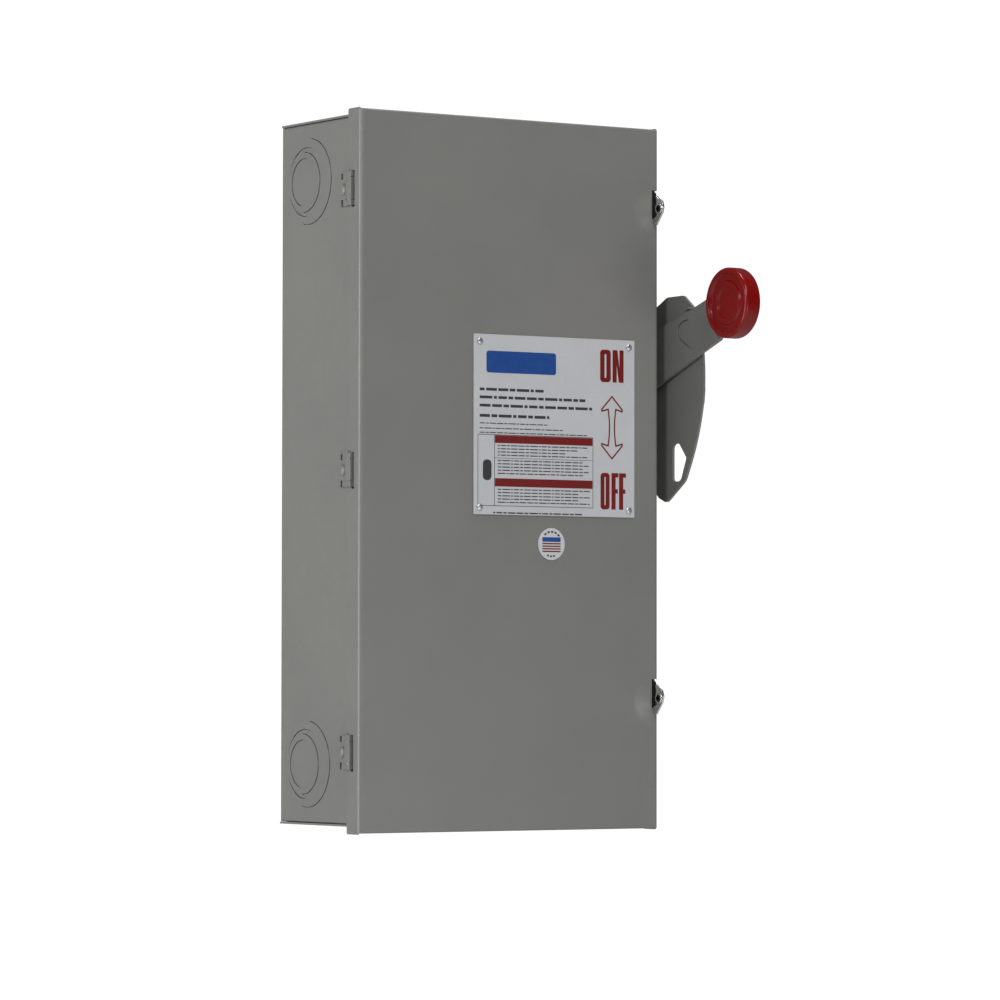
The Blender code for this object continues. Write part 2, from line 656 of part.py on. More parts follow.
def handle(axis):
    """The arm and its knob, drawn level and raised together to their angle."""
    arm_end = KNOB_REACH - 0.0270
    side = [(arm_end, 0.0172, 0.003), (0.097, 0.0177, 0), (0.0515, 0.0195, 0)]
    round_end = [(-0.0210 * math.sin(a), 0.0210 * math.cos(a), 0) for a in (0.0, 0.39, 0.79, 1.18)]
    tip = (-0.0210, 0.0, 0)
    neck = [(KNOB_REACH - 0.0025, 0.012, 0.001), (arm_end, 0.012, 0)]
    upper = neck + side + round_end
    lower = [(u, -v, radius) for u, v, radius in reversed(upper)]
    corners = [(PIVOT_Y - u, PIVOT_Z + v, radius) for u, v, radius in upper + [tip] + lower]
    outlines = [rounded(corners, steps=3), circle(SHAFT_HOLE, PIVOT_Y, PIVOT_Z, 20)]
    shape = turned_about_pivot(plate(outlines, ARM_THICKNESS, SIDEWAYS, (ARM_X, 0, 0)))
    arm = solid("handle_arm", shape, GREY_PAINT, axis)
    cut(arm, turned_about_pivot(arm_recess()))
    knob_y = PIVOT_Y - KNOB_REACH * math.cos(ARM_RISE)
    knob_z = PIVOT_Z + KNOB_REACH * math.sin(ARM_RISE)
    face = [(0, 0.0061), (0.0110, 0.0061), (0.0118, 0.0075), (0.0158, 0.0075)]
    face += [(0.0166, 0.0063), (0.0208, 0.0063)]
    edge = [(0.0226, 0.0083), (0.0246, 0.0083), (0.0255, 0.0078), (0.0260, 0.0068)]
    back = [(0.0260, -0.0068), (0.0255, -0.0078), (0.0246, -0.0083), (0, -0.0083)]
    centre = (KNOB_X, knob_y, knob_z)
    knob = turned("handle_knob", face + edge + back, centre, (-1, 0, 0), RED_PLASTIC, axis, 32)
    slot_low = (ARM_X - ARM_THICKNESS / 2 - GAP, PIVOT_Y - KNOB_REACH + 0.0020, PIVOT_Z - 0.013)
    slot_high = (ARM_X + ARM_THICKNESS / 2 + GAP, PIVOT_Y - KNOB_REACH + 0.030, PIVOT_Z + 0.013)
    cut(knob, turned_about_pivot(box(slot_low, slot_high)))


def arm_recess():
    """A tilted disc that bites a crescent into the arm's inner face, deepest towards the pivot."""
    face = ARM_X - ARM_THICKNESS / 2
    centre = Vector((face, PIVOT_Y - 0.0835, PIVOT_Z + 0.0020))
    lean = Vector((1.0, -0.07, 0.0)).normalized()
    return rod(centre - lean * 0.004, centre + lean * 0.0004, 0.0110, segments=24)


def shaft(axis):
    start, end = (0.1034, PIVOT_Y, PIVOT_Z), (0.1520, PIVOT_Y, PIVOT_Z)
    solid("handle_shaft", rod(start, end, SHAFT_RADIUS, segments=20), PLATING, axis, smooth=True)
    tube = [(SHAFT_HOLE, 0.0152), (0.0100, 0.0152), (0.0110, 0.0142), (0.0110, 0.0), (0.0080, 0.0)]
    tube += [(0.0080, -0.0030), (SHAFT_HOLE, -0.0030), (SHAFT_HOLE, 0.0152)]
    turned("shaft_bushing", tube, (SIDE + GAP, PIVOT_Y, PIVOT_Z), (1, 0, 0), PLATING, None, 20)
    clip = ring_profile(SHAFT_HOLE, 0.0092, 0.0, 0.0012)
    outside = PLATE_X + PLATE_THICKNESS / 2 + GAP
    turned("shaft_clip", clip, (outside, PIVOT_Y, PIVOT_Z), (1, 0, 0), SPRING_STEEL, axis, 20)


# Mechanism


def mechanism_plate():
    low, high, front = 0.030, 0.130, -0.098
    corners = [(front, low, 0.006), (BACK_INSIDE, low, 0), (BACK_INSIDE, high, 0), (front, high, 0.006)]
    outlines = [rounded(corners), circle(SHAFT_HOLE, PIVOT_Y, PIVOT_Z, 20)]
    side = solid("mechanism_plate", plate(outlines, 0.002, SIDEWAYS, (0.1225, 0, 0)), PLATING)
    join(side, box((0.0980, BACK_INSIDE - 0.002, low), (0.1220, BACK_INSIDE, high)))
    join(side, rod((0.1165, LEVER_Y, LEVER_Z), (0.1220, LEVER_Y, LEVER_Z), 0.0020, segments=12))


def operating_spring():
    """A torsion coil round the shaft."""
    turns, per_turn, radius = 4, 12, 0.0105
    start, end = 0.1112, 0.1200
    curve = bpy.data.curves.new("operating_spring", "CURVE")
    curve.dimensions = "3D"
    curve.bevel_depth = 0.0010
    curve.bevel_resolution = 2
    curve.use_fill_caps = True
    curve.materials.append(SPRING_STEEL)
    count = turns * per_turn
    spline = curve.splines.new("POLY")
    spline.points.add(count)
    for index, point in enumerate(spline.points):
        angle = 2 * math.pi * index / per_turn
        x = start + (end - start) * index / count
        point.co = (x - start, radius * math.cos(angle), radius * math.sin(angle), 1.0)
    coil = bpy.data.objects.new("operating_spring", curve)
    PARTS.objects.link(coil)
    coil.location = (start, PIVOT_Y, PIVOT_Z)


def drive(handle_axis, link_axis):
    """The crank on the shaft, its pin, and the link that carries the motion to the crossbar."""
    pin_z = PIVOT_Z + CRANK_REACH
    hub = arc((PIVOT_Y, PIVOT_Z), 0.011, 150, 240, 14)
    end = arc((PIVOT_Y, pin_z), 0.006, 0, 180, 8)
    outlines = [hub + end, circle(SHAFT_HOLE, PIVOT_Y, PIVOT_Z, 16), circle(0.0028, PIVOT_Y, pin_z, 12)]
    solid("drive_crank", plate(outlines, 0.004, SIDEWAYS, (0.106, 0, 0)), PLATING, handle_axis)
    pin = rod((0.0982, PIVOT_Y, pin_z), (0.1090, PIVOT_Y, pin_z), 0.0025, segments=12)
    solid("crank_pin", pin, PLATING, handle_axis, smooth=True)
    low_end = arc((BAR_PIN_Y, BAR_PIN_Z), 0.0065, 180, 180, 8)
    high_end = arc((PIVOT_Y, pin_z + 0.003), 0.0085, 0, 180, 8)
    slot = arc((PIVOT_Y, pin_z + 0.0015), 0.0045, 0, 180, 6)
    slot += arc((PIVOT_Y, pin_z - 0.0015), 0.0045, 180, 180, 6)
    outlines = [low_end + high_end, circle(0.0033, BAR_PIN_Y, BAR_PIN_Z, 12), slot]
    solid("drive_link", plate(outlines, 0.003, SIDEWAYS, (0.1010, 0, 0)), PLATING, link_axis)


def crossbar(axis):
    low, high = (-0.082, -0.066, 0.048), (0.095, -0.046, 0.062)
    bar = solid("crossbar", box(low, high), BLACK_PLASTIC, axis)
    slots = bmesh.new()
    for x in POLES.values():
        box((x - 0.0023, -0.0533, 0.040), (x + 0.0023, -0.040, 0.070), slots)
    cut(bar, slots)
    join(bar, rod((0.094, BAR_PIN_Y, BAR_PIN_Z), (0.1045, BAR_PIN_Y, BAR_PIN_Z), 0.0030, segments=12))


def contacts(blade_axis):
    """For each pole: the blade, the jaw it closes into, the jaw it swings in, and a cable lug on each."""
    front_of_base = -0.026 - GAP
    for name, x in POLES.items():
        bottom_end = arc((BLADE_Y, BLADE_Z), 0.009, 180, 180, 8)
        top = [(BLADE_Y + 0.009, 0.094), (BLADE_Y - 0.004, 0.094), (BLADE_Y - 0.009, 0.089)]
        outlines = [bottom_end + [Vector(point) for point in top], circle(0.0028, BLADE_Y, BLADE_Z, 12)]
        solid(f"blade_{name}", plate(outlines, 0.004, SIDEWAYS, (x, 0, 0)), COPPER, blade_axis)
        half = 0.0046
        line_strap = box((x - half, -0.029, 0.080), (x + half, front_of_base, 0.1297))
        line = solid(f"line_jaw_{name}", line_strap, COPPER)
        load_strap = box((x - half, -0.029, -0.0237), (x + half, front_of_base, 0.030))
        load = solid(f"load_jaw_{name}", load_strap, COPPER)
        for side in (-1, 1):
            near, far = sorted((x + side * 0.0024, x + side * 0.005))
            join(line, box((near, -0.052, 0.078), (far, -0.028, 0.098)))
            join(load, box((near, -0.055, 0.008), (far, -0.028, 0.032)))
        join(load, rod((x - 0.0065, BLADE_Y, BLADE_Z), (x + 0.0065, BLADE_Y, BLADE_Z), 0.0025, segments=12))
        lug(f"line_lug_{name}", x, 0.130, front_of_base)
        lug(f"load_lug_{name}", x, -0.050, front_of_base)


def lug(name, x, bottom, rear):
    """A clamp block with a wire hole from end to end and a set screw in its front."""
    height, depth, half = 0.026, 0.026, 0.011
    block = solid(name, box((x - half, rear - depth, bottom), (x + half, rear, bottom + height)), ALUMINIUM)
    wire_y = rear - 0.0135
    cut(block, rod((x, wire_y, bottom - 0.005), (x, wire_y, bottom + height + 0.005), 0.007, segments=20))
    middle = bottom + height / 2
    face = rear - depth
    join(block, rod((x, face - 0.003, middle), (x, face + 0.0035, middle), 0.005, segments=16))
    cut(block, box((x - 0.006, face - 0.005, middle - 0.0006), (x + 0.006, face - 0.0015, middle + 0.0006)))


def bases():
    """The insulating bases, with barriers between the poles."""
    low_x, high_x, front = -0.096, 0.086, -0.026
    line = solid("line_base", box((low_x, front, 0.076), (high_x, BACK_INSIDE, 0.170)), BLACK_PLASTIC)
    for x in (low_x, -0.0375, 0.0225, high_x - 0.003):
        join(line, box((x, -0.070, 0.076), (x + 0.003, front + 0.001, 0.170)))
    load = solid("load_base", box((low_x, front, -0.060), (high_x, BACK_INSIDE, 0.040)), BLACK_PLASTIC)
    for x in (-0.0375, 0.0225):
        join(load, box((x, -0.060, -0.060), (x + 0.003, front + 0.001, -0.010)))


def line_shield():
    """A clear sheet in front of the line lugs, with a leg at each side."""
    low_x, high_x, front, sheet = -0.0985, 0.0885, -0.084, 0.002
    shape = box((low_x, front, 0.118), (high_x, front + sheet, 0.190))
    shield = solid("line_shield", shape, CLEAR_SHEET)
    join(shield, box((low_x, front + sheet / 2, 0.118), (low_x + sheet, BACK_INSIDE, 0.190)))
    join(shield, box((high_x - sheet, front + sheet / 2, 0.118), (high_x, BACK_INSIDE, 0.190)))


def ground_bar():
    bar = solid("ground_bar", box((-0.055, -0.0140, -0.215), (-0.005, BACK_INSIDE, -0.203)), ALUMINIUM)
    holes = bmesh.new()
    for index in range(5):
        x = -0.048 + index * 0.009
        rod((x, -0.008, -0.220), (x, -0.008, -0.198), 0.0028, holes, 12)
    cut(bar, holes)


def interlock(lever_axis, cover_axis):
    """The lever that follows the handle, and the catch on the cover that it stands beside."""
    nose = [(LEVER_Y - 0.0150, LEVER_Z + 0.0045, 0.002), (LEVER_Y - 0.0150, LEVER_Z - 0.0015, 0.001)]
    tail = [(LEVER_Y - 0.003, LEVER_Z - 0.0060, 0.003), (LEVER_Y + 0.020, LEVER_Z - 0.0145, 0.002)]
    back = [(LEVER_Y + 0.023, LEVER_Z - 0.0090, 0.002), (LEVER_Y + 0.003, LEVER_Z + 0.0060, 0.003)]
    outlines = [rounded(nose + tail + back, steps=3), circle(0.0023, LEVER_Y, LEVER_Z, 12)]
    solid("interlock_lever", plate(outlines, 0.0025, SIDEWAYS, (0.11925, 0, 0)), PLATING, lever_axis)
    inner_face = FRONT + SHEET + GAP
    pad = box((0.104, inner_face, 0.108), (0.116, inner_face + 0.0015, 0.136))
    catch = solid("interlock_catch", pad, PLATING, cover_axis)
    join(catch, box((0.104, inner_face + 0.0005, 0.120), (0.116, -0.100, 0.122)))


def main():
    cover_axis = axis_empty("cover_axis", (HINGE_X, HINGE_Y, 0))
    handle_axis = axis_empty("handle_axis", (ARM_X, PIVOT_Y, PIVOT_Z))
    blade_axis = axis_empty("blade_axis", (0, BLADE_Y, BLADE_Z))
    link_axis = axis_empty("link_axis", (0.101, BAR_PIN_Y, BAR_PIN_Z), blade_axis)
    lever_axis = axis_empty("lever_axis", (0.11925, LEVER_Y, LEVER_Z))
    enclosure_body()
    end_wall("top_end_wall", BOX_TOP, 1)
    end_wall("bottom_end_wall", BOX_BOTTOM, -1)
    cover(cover_axis)
    nameplate(cover_axis)
    cover_sticker(cover_axis)
    hinges()
    for name, z in LATCH_HEIGHTS.items():
        latch(name, z, cover_axis)
    handle_base()
    handle(handle_axis)
    shaft(handle_axis)
    mechanism_plate()
    operating_spring()
    drive(handle_axis, link_axis)
    crossbar(blade_axis)
    contacts(blade_axis)
    bases()
    line_shield()
    ground_bar()
    interlock(lever_axis, cover_axis)


main()
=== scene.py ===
"""The looks of a side-operated safety switch: painted sheet metal with folded edges, struck knockouts,
plated latches, a glossy knob, a printed plate, and the mechanism behind the cover. Metres throughout."""
import json
import math

import bmesh
import bpy
from mathutils import Matrix, Quaternion, Vector


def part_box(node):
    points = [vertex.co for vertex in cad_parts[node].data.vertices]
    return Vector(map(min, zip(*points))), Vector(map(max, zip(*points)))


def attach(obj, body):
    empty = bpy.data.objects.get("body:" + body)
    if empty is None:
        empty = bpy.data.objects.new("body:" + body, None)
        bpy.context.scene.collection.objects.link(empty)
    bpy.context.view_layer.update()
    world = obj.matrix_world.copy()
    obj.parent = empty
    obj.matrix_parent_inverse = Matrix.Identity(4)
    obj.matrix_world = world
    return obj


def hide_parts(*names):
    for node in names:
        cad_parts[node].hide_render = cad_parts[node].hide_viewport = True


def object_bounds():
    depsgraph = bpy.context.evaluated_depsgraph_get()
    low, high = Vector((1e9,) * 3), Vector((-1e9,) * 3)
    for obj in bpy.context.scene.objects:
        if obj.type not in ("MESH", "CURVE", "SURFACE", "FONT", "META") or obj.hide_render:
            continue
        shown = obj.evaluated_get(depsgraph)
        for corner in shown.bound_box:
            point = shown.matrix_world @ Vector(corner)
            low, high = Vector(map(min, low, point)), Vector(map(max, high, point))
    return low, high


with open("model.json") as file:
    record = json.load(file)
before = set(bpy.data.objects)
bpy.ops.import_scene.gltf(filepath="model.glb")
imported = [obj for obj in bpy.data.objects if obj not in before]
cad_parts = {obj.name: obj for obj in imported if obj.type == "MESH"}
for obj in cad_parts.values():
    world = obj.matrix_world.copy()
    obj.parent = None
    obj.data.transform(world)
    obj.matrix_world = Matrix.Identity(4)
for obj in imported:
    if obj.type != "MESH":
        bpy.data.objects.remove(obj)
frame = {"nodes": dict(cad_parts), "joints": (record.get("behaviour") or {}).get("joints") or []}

CAD_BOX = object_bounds()
JOINTS = {joint["name"]: joint for joint in frame["joints"]}

# Sheet metal
SHEET = 0.0015
GAP = 0.0003
COVER_DEPTH = 0.0176
COVER_BEND = 0.0032
BOX_BEND = 0.002
LIP = 0.010
RETURN = 0.012
KNOCKOUT_RAISE = 0.0005
NOTCH_DEPTH = 0.0050
BULGE_X = 0.1252
BULGE_REACH = 0.018
BULGE_DROP = 0.0065
BULGE_HEIGHT = 0.0030
END_BEND = 0.0018
EAR = 0.0008
LEAF_NOSE = -0.1054

COVER_LOW, COVER_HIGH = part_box("cover")
COVER_HALF_WIDTH = COVER_HIGH.x
FRONT = COVER_LOW.y
ROLL_OUTSIDE = -0.1322
ROLL_RADIUS = 0.0018
RIVET_FORWARD = 0.0016
COVER_REAR = FRONT + COVER_DEPTH
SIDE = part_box("top_end_wall")[1].x
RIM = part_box("top_end_wall")[0].y
BOX_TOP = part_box("top_end_wall")[1].z - KNOCKOUT_RAISE
BOX_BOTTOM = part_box("bottom_end_wall")[0].z + KNOCKOUT_RAISE

HINGES = ("upper", "middle", "lower")
LATCHES = ("upper", "lower")
POLES = ("left", "centre", "right")
HINGE_X, HINGE_Y = JOINTS["cover_hinge"]["pos_m"][:2]
PIVOT = Vector(JOINTS["handle_turn"]["pos_m"])
ARM_RISE = math.radians(18.8)

SIDEWAYS = Matrix(((0, 0, 1, 0), (1, 0, 0, 0), (0, 1, 0, 0), (0, 0, 0, 1)))
FACING = Matrix(((1, 0, 0, 0), (0, 0, -1, 0), (0, 1, 0, 0), (0, 0, 0, 1)))
LEVEL = Matrix.Identity(4)
TINY = 0.00001


def middle(node):
    low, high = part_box(node)
    return (low + high) / 2


HINGE_HEIGHTS = {name: middle(f"hinge_leaf_{name}").z for name in HINGES}
LATCH_PIVOTS = {name: Vector(JOINTS[f"{name}_latch_pivot"]["pos_m"]) for name in LATCHES}
LATCH_PIVOT_UP = 0.0063
LATCH_HEIGHTS = {name: place.z - LATCH_PIVOT_UP for name, place in LATCH_PIVOTS.items()}
HINGE_Z, LATCH_Z = HINGE_HEIGHTS.values(), LATCH_HEIGHTS.values()
FOOT_SCREWS = [middle(f"handle_base_screw_{number}") for number in (1, 2)]
LABEL_RIVETS = [middle(f"nameplate_rivet_{number}") for number in range(1, 5)]


# Materials


def new_material(name, colour, roughness, metallic=0.0, **sockets):
    """A Principled material, with its uniform values on the shader's own sockets."""
    made = bpy.data.materials.new(name)
    made.use_nodes = True
    shader = made.node_tree.nodes["Principled BSDF"]
    shader.inputs["Base Color"].default_value = (*colour, 1.0)
    shader.inputs["Roughness"].default_value = roughness
    shader.inputs["Metallic"].default_value = metallic
    for socket, value in sockets.items():
        shader.inputs[socket.replace("_", " ")].default_value = value
    return made


def new_node(tree, kind, **values):
    node = tree.nodes.new(f"ShaderNode{kind}")
    for socket, value in values.items():
        node.inputs[socket].default_value = value
    return node


def mapped_place(tree, scale, location=(0.0, 0.0, 0.0)):
    place = new_node(tree, "TexCoord")
    mapping = new_node(tree, "Mapping", Location=location, Scale=scale)
    tree.links.new(place.outputs["Object"], mapping.inputs["Vector"])
    return mapping.outputs["Vector"]


def noise_node(made, scale, detail=3.0, stretch=(1.0, 1.0, 1.0), roughness=0.55):
    tree = made.node_tree
    texture = new_node(tree, "TexNoise", Scale=scale, Detail=detail, Roughness=roughness)
    tree.links.new(mapped_place(tree, stretch), texture.inputs["Vector"])
    return texture


def ramp_from(made, source, stops):
    """A colour ramp on a texture's value: stops are (place, colour or grey)."""
    tree = made.node_tree
    ramp = new_node(tree, "ValToRGB")
    elements = ramp.color_ramp.elements
    while len(elements) < len(stops):
        elements.new(0.5)
    for element, (place, colour) in zip(elements, stops):
        element.position = place
        element.color = (colour,) * 3 + (1.0,) if isinstance(colour, float) else (*colour, 1.0)
    tree.links.new(source, ramp.inputs["Fac"])
    return ramp.outputs["Color"]


def vary_colour(made, scale, stops, **noise):
    texture = noise_node(made, scale, **noise)
    shader = made.node_tree.nodes["Principled BSDF"]
    made.node_tree.links.new(ramp_from(made, texture.outputs["Fac"], stops), shader.inputs["Base Color"])


def vary_roughness(made, scale, low, high, **noise):
    texture = noise_node(made, scale, **noise)
    shader = made.node_tree.nodes["Principled BSDF"]
    value = ramp_from(made, texture.outputs["Fac"], [(0.3, low), (0.7, high)])
    made.node_tree.links.new(value, shader.inputs["Roughness"])


def add_bump(made, scale, distance, strength=1.0, after=None, **noise):
    """A bump from noise. It goes on top of the bump node given as after."""
    tree = made.node_tree
    texture = noise_node(made, scale, **noise)
    bump = new_node(tree, "Bump", Strength=strength, Distance=distance)
    tree.links.new(texture.outputs["Fac"], bump.inputs["Height"])
    if after:
        tree.links.new(after.outputs["Normal"], bump.inputs["Normal"])
    tree.links.new(bump.outputs["Normal"], tree.nodes["Principled BSDF"].inputs["Normal"])
    return bump


def grey_paint():
    """Baked grey enamel: a faint orange peel over slow waves in the sheet, with slight clouding."""
    made = new_material("grey_enamel", (0.2, 0.2, 0.19), 0.38)
    stops = [(0.30, (0.196, 0.197, 0.186)), (0.50, (0.206, 0.206, 0.195)), (0.72, (0.217, 0.216, 0.204))]
    vary_colour(made, 9.0, stops, detail=6.0)
    vary_roughness(made, 140.0, 0.34, 0.44)
    waves = add_bump(made, 7.0, 0.0010, strength=0.3, detail=1.0)
    add_bump(made, 620.0, 0.00005, strength=0.35, after=waves, detail=2.0)
    return made


def dimpled_paint():
    """The cover's enamel, over the slight bulge that the press left beside each latch notch."""
    made = grey_paint()
    tree = made.node_tree
    shader = tree.nodes["Principled BSDF"]
    for z in LATCH_Z:
        under = shader.inputs["Normal"].links[0].from_socket
        centre = Vector((BULGE_X, FRONT, z - BULGE_DROP))
        swell = new_node(tree, "TexGradient")
        swell.gradient_type = "SPHERICAL"
        place = mapped_place(tree, (1 / BULGE_REACH,) * 3, -centre / BULGE_REACH)
        tree.links.new(place, swell.inputs["Vector"])
        round_off = new_node(tree, "MapRange")
        round_off.interpolation_type = "SMOOTHSTEP"
        tree.links.new(swell.outputs["Fac"], round_off.inputs["Value"])
        bump = new_node(tree, "Bump", Distance=BULGE_HEIGHT)
        tree.links.new(round_off.outputs["Result"], bump.inputs["Height"])
        tree.links.new(under, bump.inputs["Normal"])
        tree.links.new(bump.outputs["Normal"], shader.inputs["Normal"])
    return made


def toned(name, colour, roughness, tones, clouds, gloss, grain=None, metallic=0.0, stretch=(1.0, 1.0, 1.0)):
    """A material that drifts between two tones. clouds is the drift's (scale, detail), gloss is the
    roughness's (scale, low, high), and grain is the bump's (scale, depth, strength)."""
    made = new_material(name, colour, roughness, metallic)
    vary_colour(made, clouds[0], [(0.3, tones[0]), (0.7, tones[1])], detail=clouds[1])
    vary_roughness(made, *gloss)
    if grain:
        add_bump(made, grain[0], grain[1], strength=grain[2], stretch=stretch)
    return made


def red_plastic():
    made = new_material("red_vinyl", (0.215, 0.0004, 0.0004), 0.2, Specular_IOR_Level=0.4)
    stops = [(0.3, (0.205, 0.0003, 0.0003)), (0.7, (0.225, 0.0005, 0.0005))]
    vary_colour(made, 60.0, stops)
    vary_roughness(made, 220.0, 0.17, 0.27)
    slow = add_bump(made, 60.0, 0.0004, strength=0.04, detail=1.0)
    add_bump(made, 700.0, 0.00004, strength=0.3, after=slow)
    return made


def ink(name, colour):
    tones = [tuple(channel * share for channel in colour) for share in (0.9, 1.1)]
    return toned(name, colour, 0.4, tones, (300.0, 3.0), (500.0, 0.34, 0.46))


def black_moulding():
    made = new_material("glass_polyester", (0.022, 0.022, 0.024), 0.5)
    stops = [(0.30, (0.016, 0.016, 0.018)), (0.62, (0.024, 0.024, 0.026)), (0.74, (0.055, 0.055, 0.058))]
    vary_colour(made, 420.0, stops, detail=8.0)
    vary_roughness(made, 90.0, 0.42, 0.58)
    add_bump(made, 500.0, 0.00008, strength=0.6, detail=4.0)
    return made


def clear_sheet():
    made = new_material("clear_polycarbonate", (0.93, 0.96, 0.97), 0.08, Transmission_Weight=1.0, IOR=1.5)
    vary_roughness(made, 30.0, 0.04, 0.12)
    add_bump(made, 12.0, 0.0004, strength=0.2, detail=1.0)
    return made


PAINT = grey_paint()
COVER_PAINT = dimpled_paint()
PLATING = toned(
    "zinc_plating", (0.72, 0.72, 0.70), 0.22, ((0.62, 0.62, 0.60), (0.80, 0.80, 0.78)), (90.0, 5.0),
    (260.0, 0.16, 0.34), (900.0, 0.00003, 0.5), metallic=1.0, stretch=(1.0, 1.0, 0.25)
)
STEEL = toned(
    "spring_steel", (0.28, 0.28, 0.29), 0.3, ((0.20, 0.20, 0.21), (0.34, 0.34, 0.35)), (200.0, 3.0),
    (300.0, 0.24, 0.42), (1200.0, 0.00003, 0.4), metallic=1.0, stretch=(4.0, 1.0, 1.0)
)
# Near-black steel: painted shade for the latch hook in the dark notch and inside the latch eyelet's hole.
SHADE_BLACK = toned(
    "shade_black_steel", (0.012, 0.012, 0.013), 0.5, ((0.008, 0.008, 0.009), (0.018, 0.018, 0.019)),
    (260.0, 3.0), (300.0, 0.42, 0.6), (900.0, 0.00003, 0.4)
)
RED = red_plastic()
FILM = toned(
    "label_film", (0.56, 0.57, 0.59), 0.3, ((0.548, 0.556, 0.578), (0.574, 0.582, 0.602)), (40.0, 5.0),
    (400.0, 0.26, 0.36), (1500.0, 0.00002, 0.4)
)
STICKER = toned(
    "sticker_film", (0.62, 0.63, 0.65), 0.25, ((0.60, 0.61, 0.63), (0.65, 0.66, 0.68)), (80.0, 3.0),
    (400.0, 0.22, 0.32)
)
BLACK = black_moulding()
COPPER = toned(
    "tinned_copper", (0.66, 0.56, 0.47), 0.3, ((0.60, 0.46, 0.36), (0.72, 0.66, 0.60)), (120.0, 6.0),
    (300.0, 0.24, 0.42), (700.0, 0.00004, 0.5), metallic=1.0, stretch=(1.0, 1.0, 6.0)
)
ALUMINIUM = toned(
    "extruded_aluminium", (0.60, 0.61, 0.63), 0.34, ((0.54, 0.55, 0.57), (0.66, 0.67, 0.69)), (100.0, 3.0),
    (260.0, 0.28, 0.44), (900.0, 0.00005, 0.6), metallic=1.0, stretch=(1.0, 1.0, 0.05)
)
CLEAR = clear_sheet()
INK_RED = ink("ink_red", (0.165, 0.002, 0.002))
INK_BLUE = ink("ink_blue", (0.006, 0.060, 0.27))
INK_BLACK = ink("ink_black", (0.035, 0.035, 0.038))


# Outlines


def circle(radius, x=0.0, y=0.0, steps=64):
    turns = [2 * math.pi * step / steps for step in range(steps)]
    return [Vector((x + radius * math.cos(a), y + radius * math.sin(a))) for a in turns]


def arc(centre, radius, start, sweep, steps):
    angles = [math.radians(start + sweep * step / steps) for step in range(steps + 1)]
    return [Vector((centre[0] + radius * math.cos(a), centre[1] + radius * math.sin(a))) for a in angles]


def rounded(corners, closed=True, steps=8):
    """The outline through corners (x, y, radius), each turned on an arc of its own radius."""
    outline = []
    count = len(corners)
    for index, (x, y, radius) in enumerate(corners):
        corner = Vector((x, y))
        is_end = not closed and index in (0, count - 1)
        if radius == 0 or is_end:
            outline.append(corner)
            continue
        before = (Vector(corners[index - 1][:2]) - corner).normalized()
        after = (Vector(corners[(index + 1) % count][:2]) - corner).normalized()
        half = before.angle(after) / 2
        centre = corner + (before + after).normalized() * radius / math.sin(half)
        first = corner + before * radius / math.tan(half) - centre
        last = corner + after * radius / math.tan(half) - centre
        start = math.degrees(math.atan2(first.y, first.x))
        sweep = math.degrees(math.atan2(last.y, last.x)) - start
        sweep = (sweep + 180) % 360 - 180
        outline += arc(centre, radius, start, sweep, steps)
    return outline


def sector(inner, outer, centre, start, sweep, steps=40):
    """A slice of a ring."""
    return arc(centre, outer, start, sweep, steps) + arc(centre, inner, start + sweep, -sweep, steps)


def rectangle(left, bottom, right, top, radius=0.0):
    corners = [(left, bottom, radius), (right, bottom, radius), (right, top, radius), (left, top, radius)]
    return rounded(corners, steps=4)


# Shapes


def box(low, high):
    shape = bmesh.new()
    low, high = Vector(low), Vector(high)
    place = Matrix.Translation((low + high) / 2) @ Matrix.Diagonal((*(high - low), 1.0))
    bmesh.ops.create_cube(shape, size=1.0, matrix=place)
    return shape


def rod(start, end, radius):
    shape = bmesh.new()
    start, end = Vector(start), Vector(end)
    along = end - start
    turn = Vector((0, 0, 1)).rotation_difference(along).to_matrix().to_4x4()
    place = Matrix.Translation((start + end) / 2) @ turn
    size = {"radius1": radius, "radius2": radius, "depth": along.length}
    bmesh.ops.create_cone(shape, cap_ends=True, segments=48, matrix=place, **size)
    return shape


def side_bore(place, radius, low=0.12, high=0.13):
    """A bore along X at a place, through the right side wall unless other ends are given."""
    return rod((low, place.y, place.z), (high, place.y, place.z), radius)


def whole_faces(mesh, degrees, turn_faces=False):
    """The mesh's shape, with its split flat faces merged."""
    shape = bmesh.new()
    shape.from_mesh(mesh)
    bmesh.ops.remove_doubles(shape, verts=shape.verts, dist=TINY / 10)
    if turn_faces:
        bmesh.ops.recalc_face_normals(shape, faces=shape.faces)
    bmesh.ops.dissolve_limit(shape, angle_limit=math.radians(degrees), verts=shape.verts, edges=shape.edges)
    return shape


def plate(outlines, thickness, plane, offset):
    """A flat plate. The first outline is its edge, the others are holes, and its middle lies at offset."""
    curve = bpy.data.curves.new("outline", "CURVE")
    curve.dimensions = "2D"
    curve.fill_mode = "BOTH"
    curve.extrude = thickness / 2
    for outline in outlines:
        spline = curve.splines.new("POLY")
        spline.points.add(len(outline) - 1)
        for point, place in zip(spline.points, outline):
            point.co = (place[0], place[1], 0.0, 1.0)
        spline.use_cyclic_u = True
    drawn = linked("outline", curve)
    graph = bpy.context.evaluated_depsgraph_get()
    mesh = bpy.data.meshes.new_from_object(drawn.evaluated_get(graph))
    shape = whole_faces(mesh, 0.5, turn_faces=True)
    shape.transform(Matrix.Translation(offset) @ plane)
    bpy.data.objects.remove(drawn)
    bpy.data.curves.remove(curve)
    bpy.data.meshes.remove(mesh)
    return shape


def chain(shape, places):
    row = [shape.verts.new(place) for place in places]
    return row, [shape.edges.new(pair) for pair in zip(row, row[1:])]


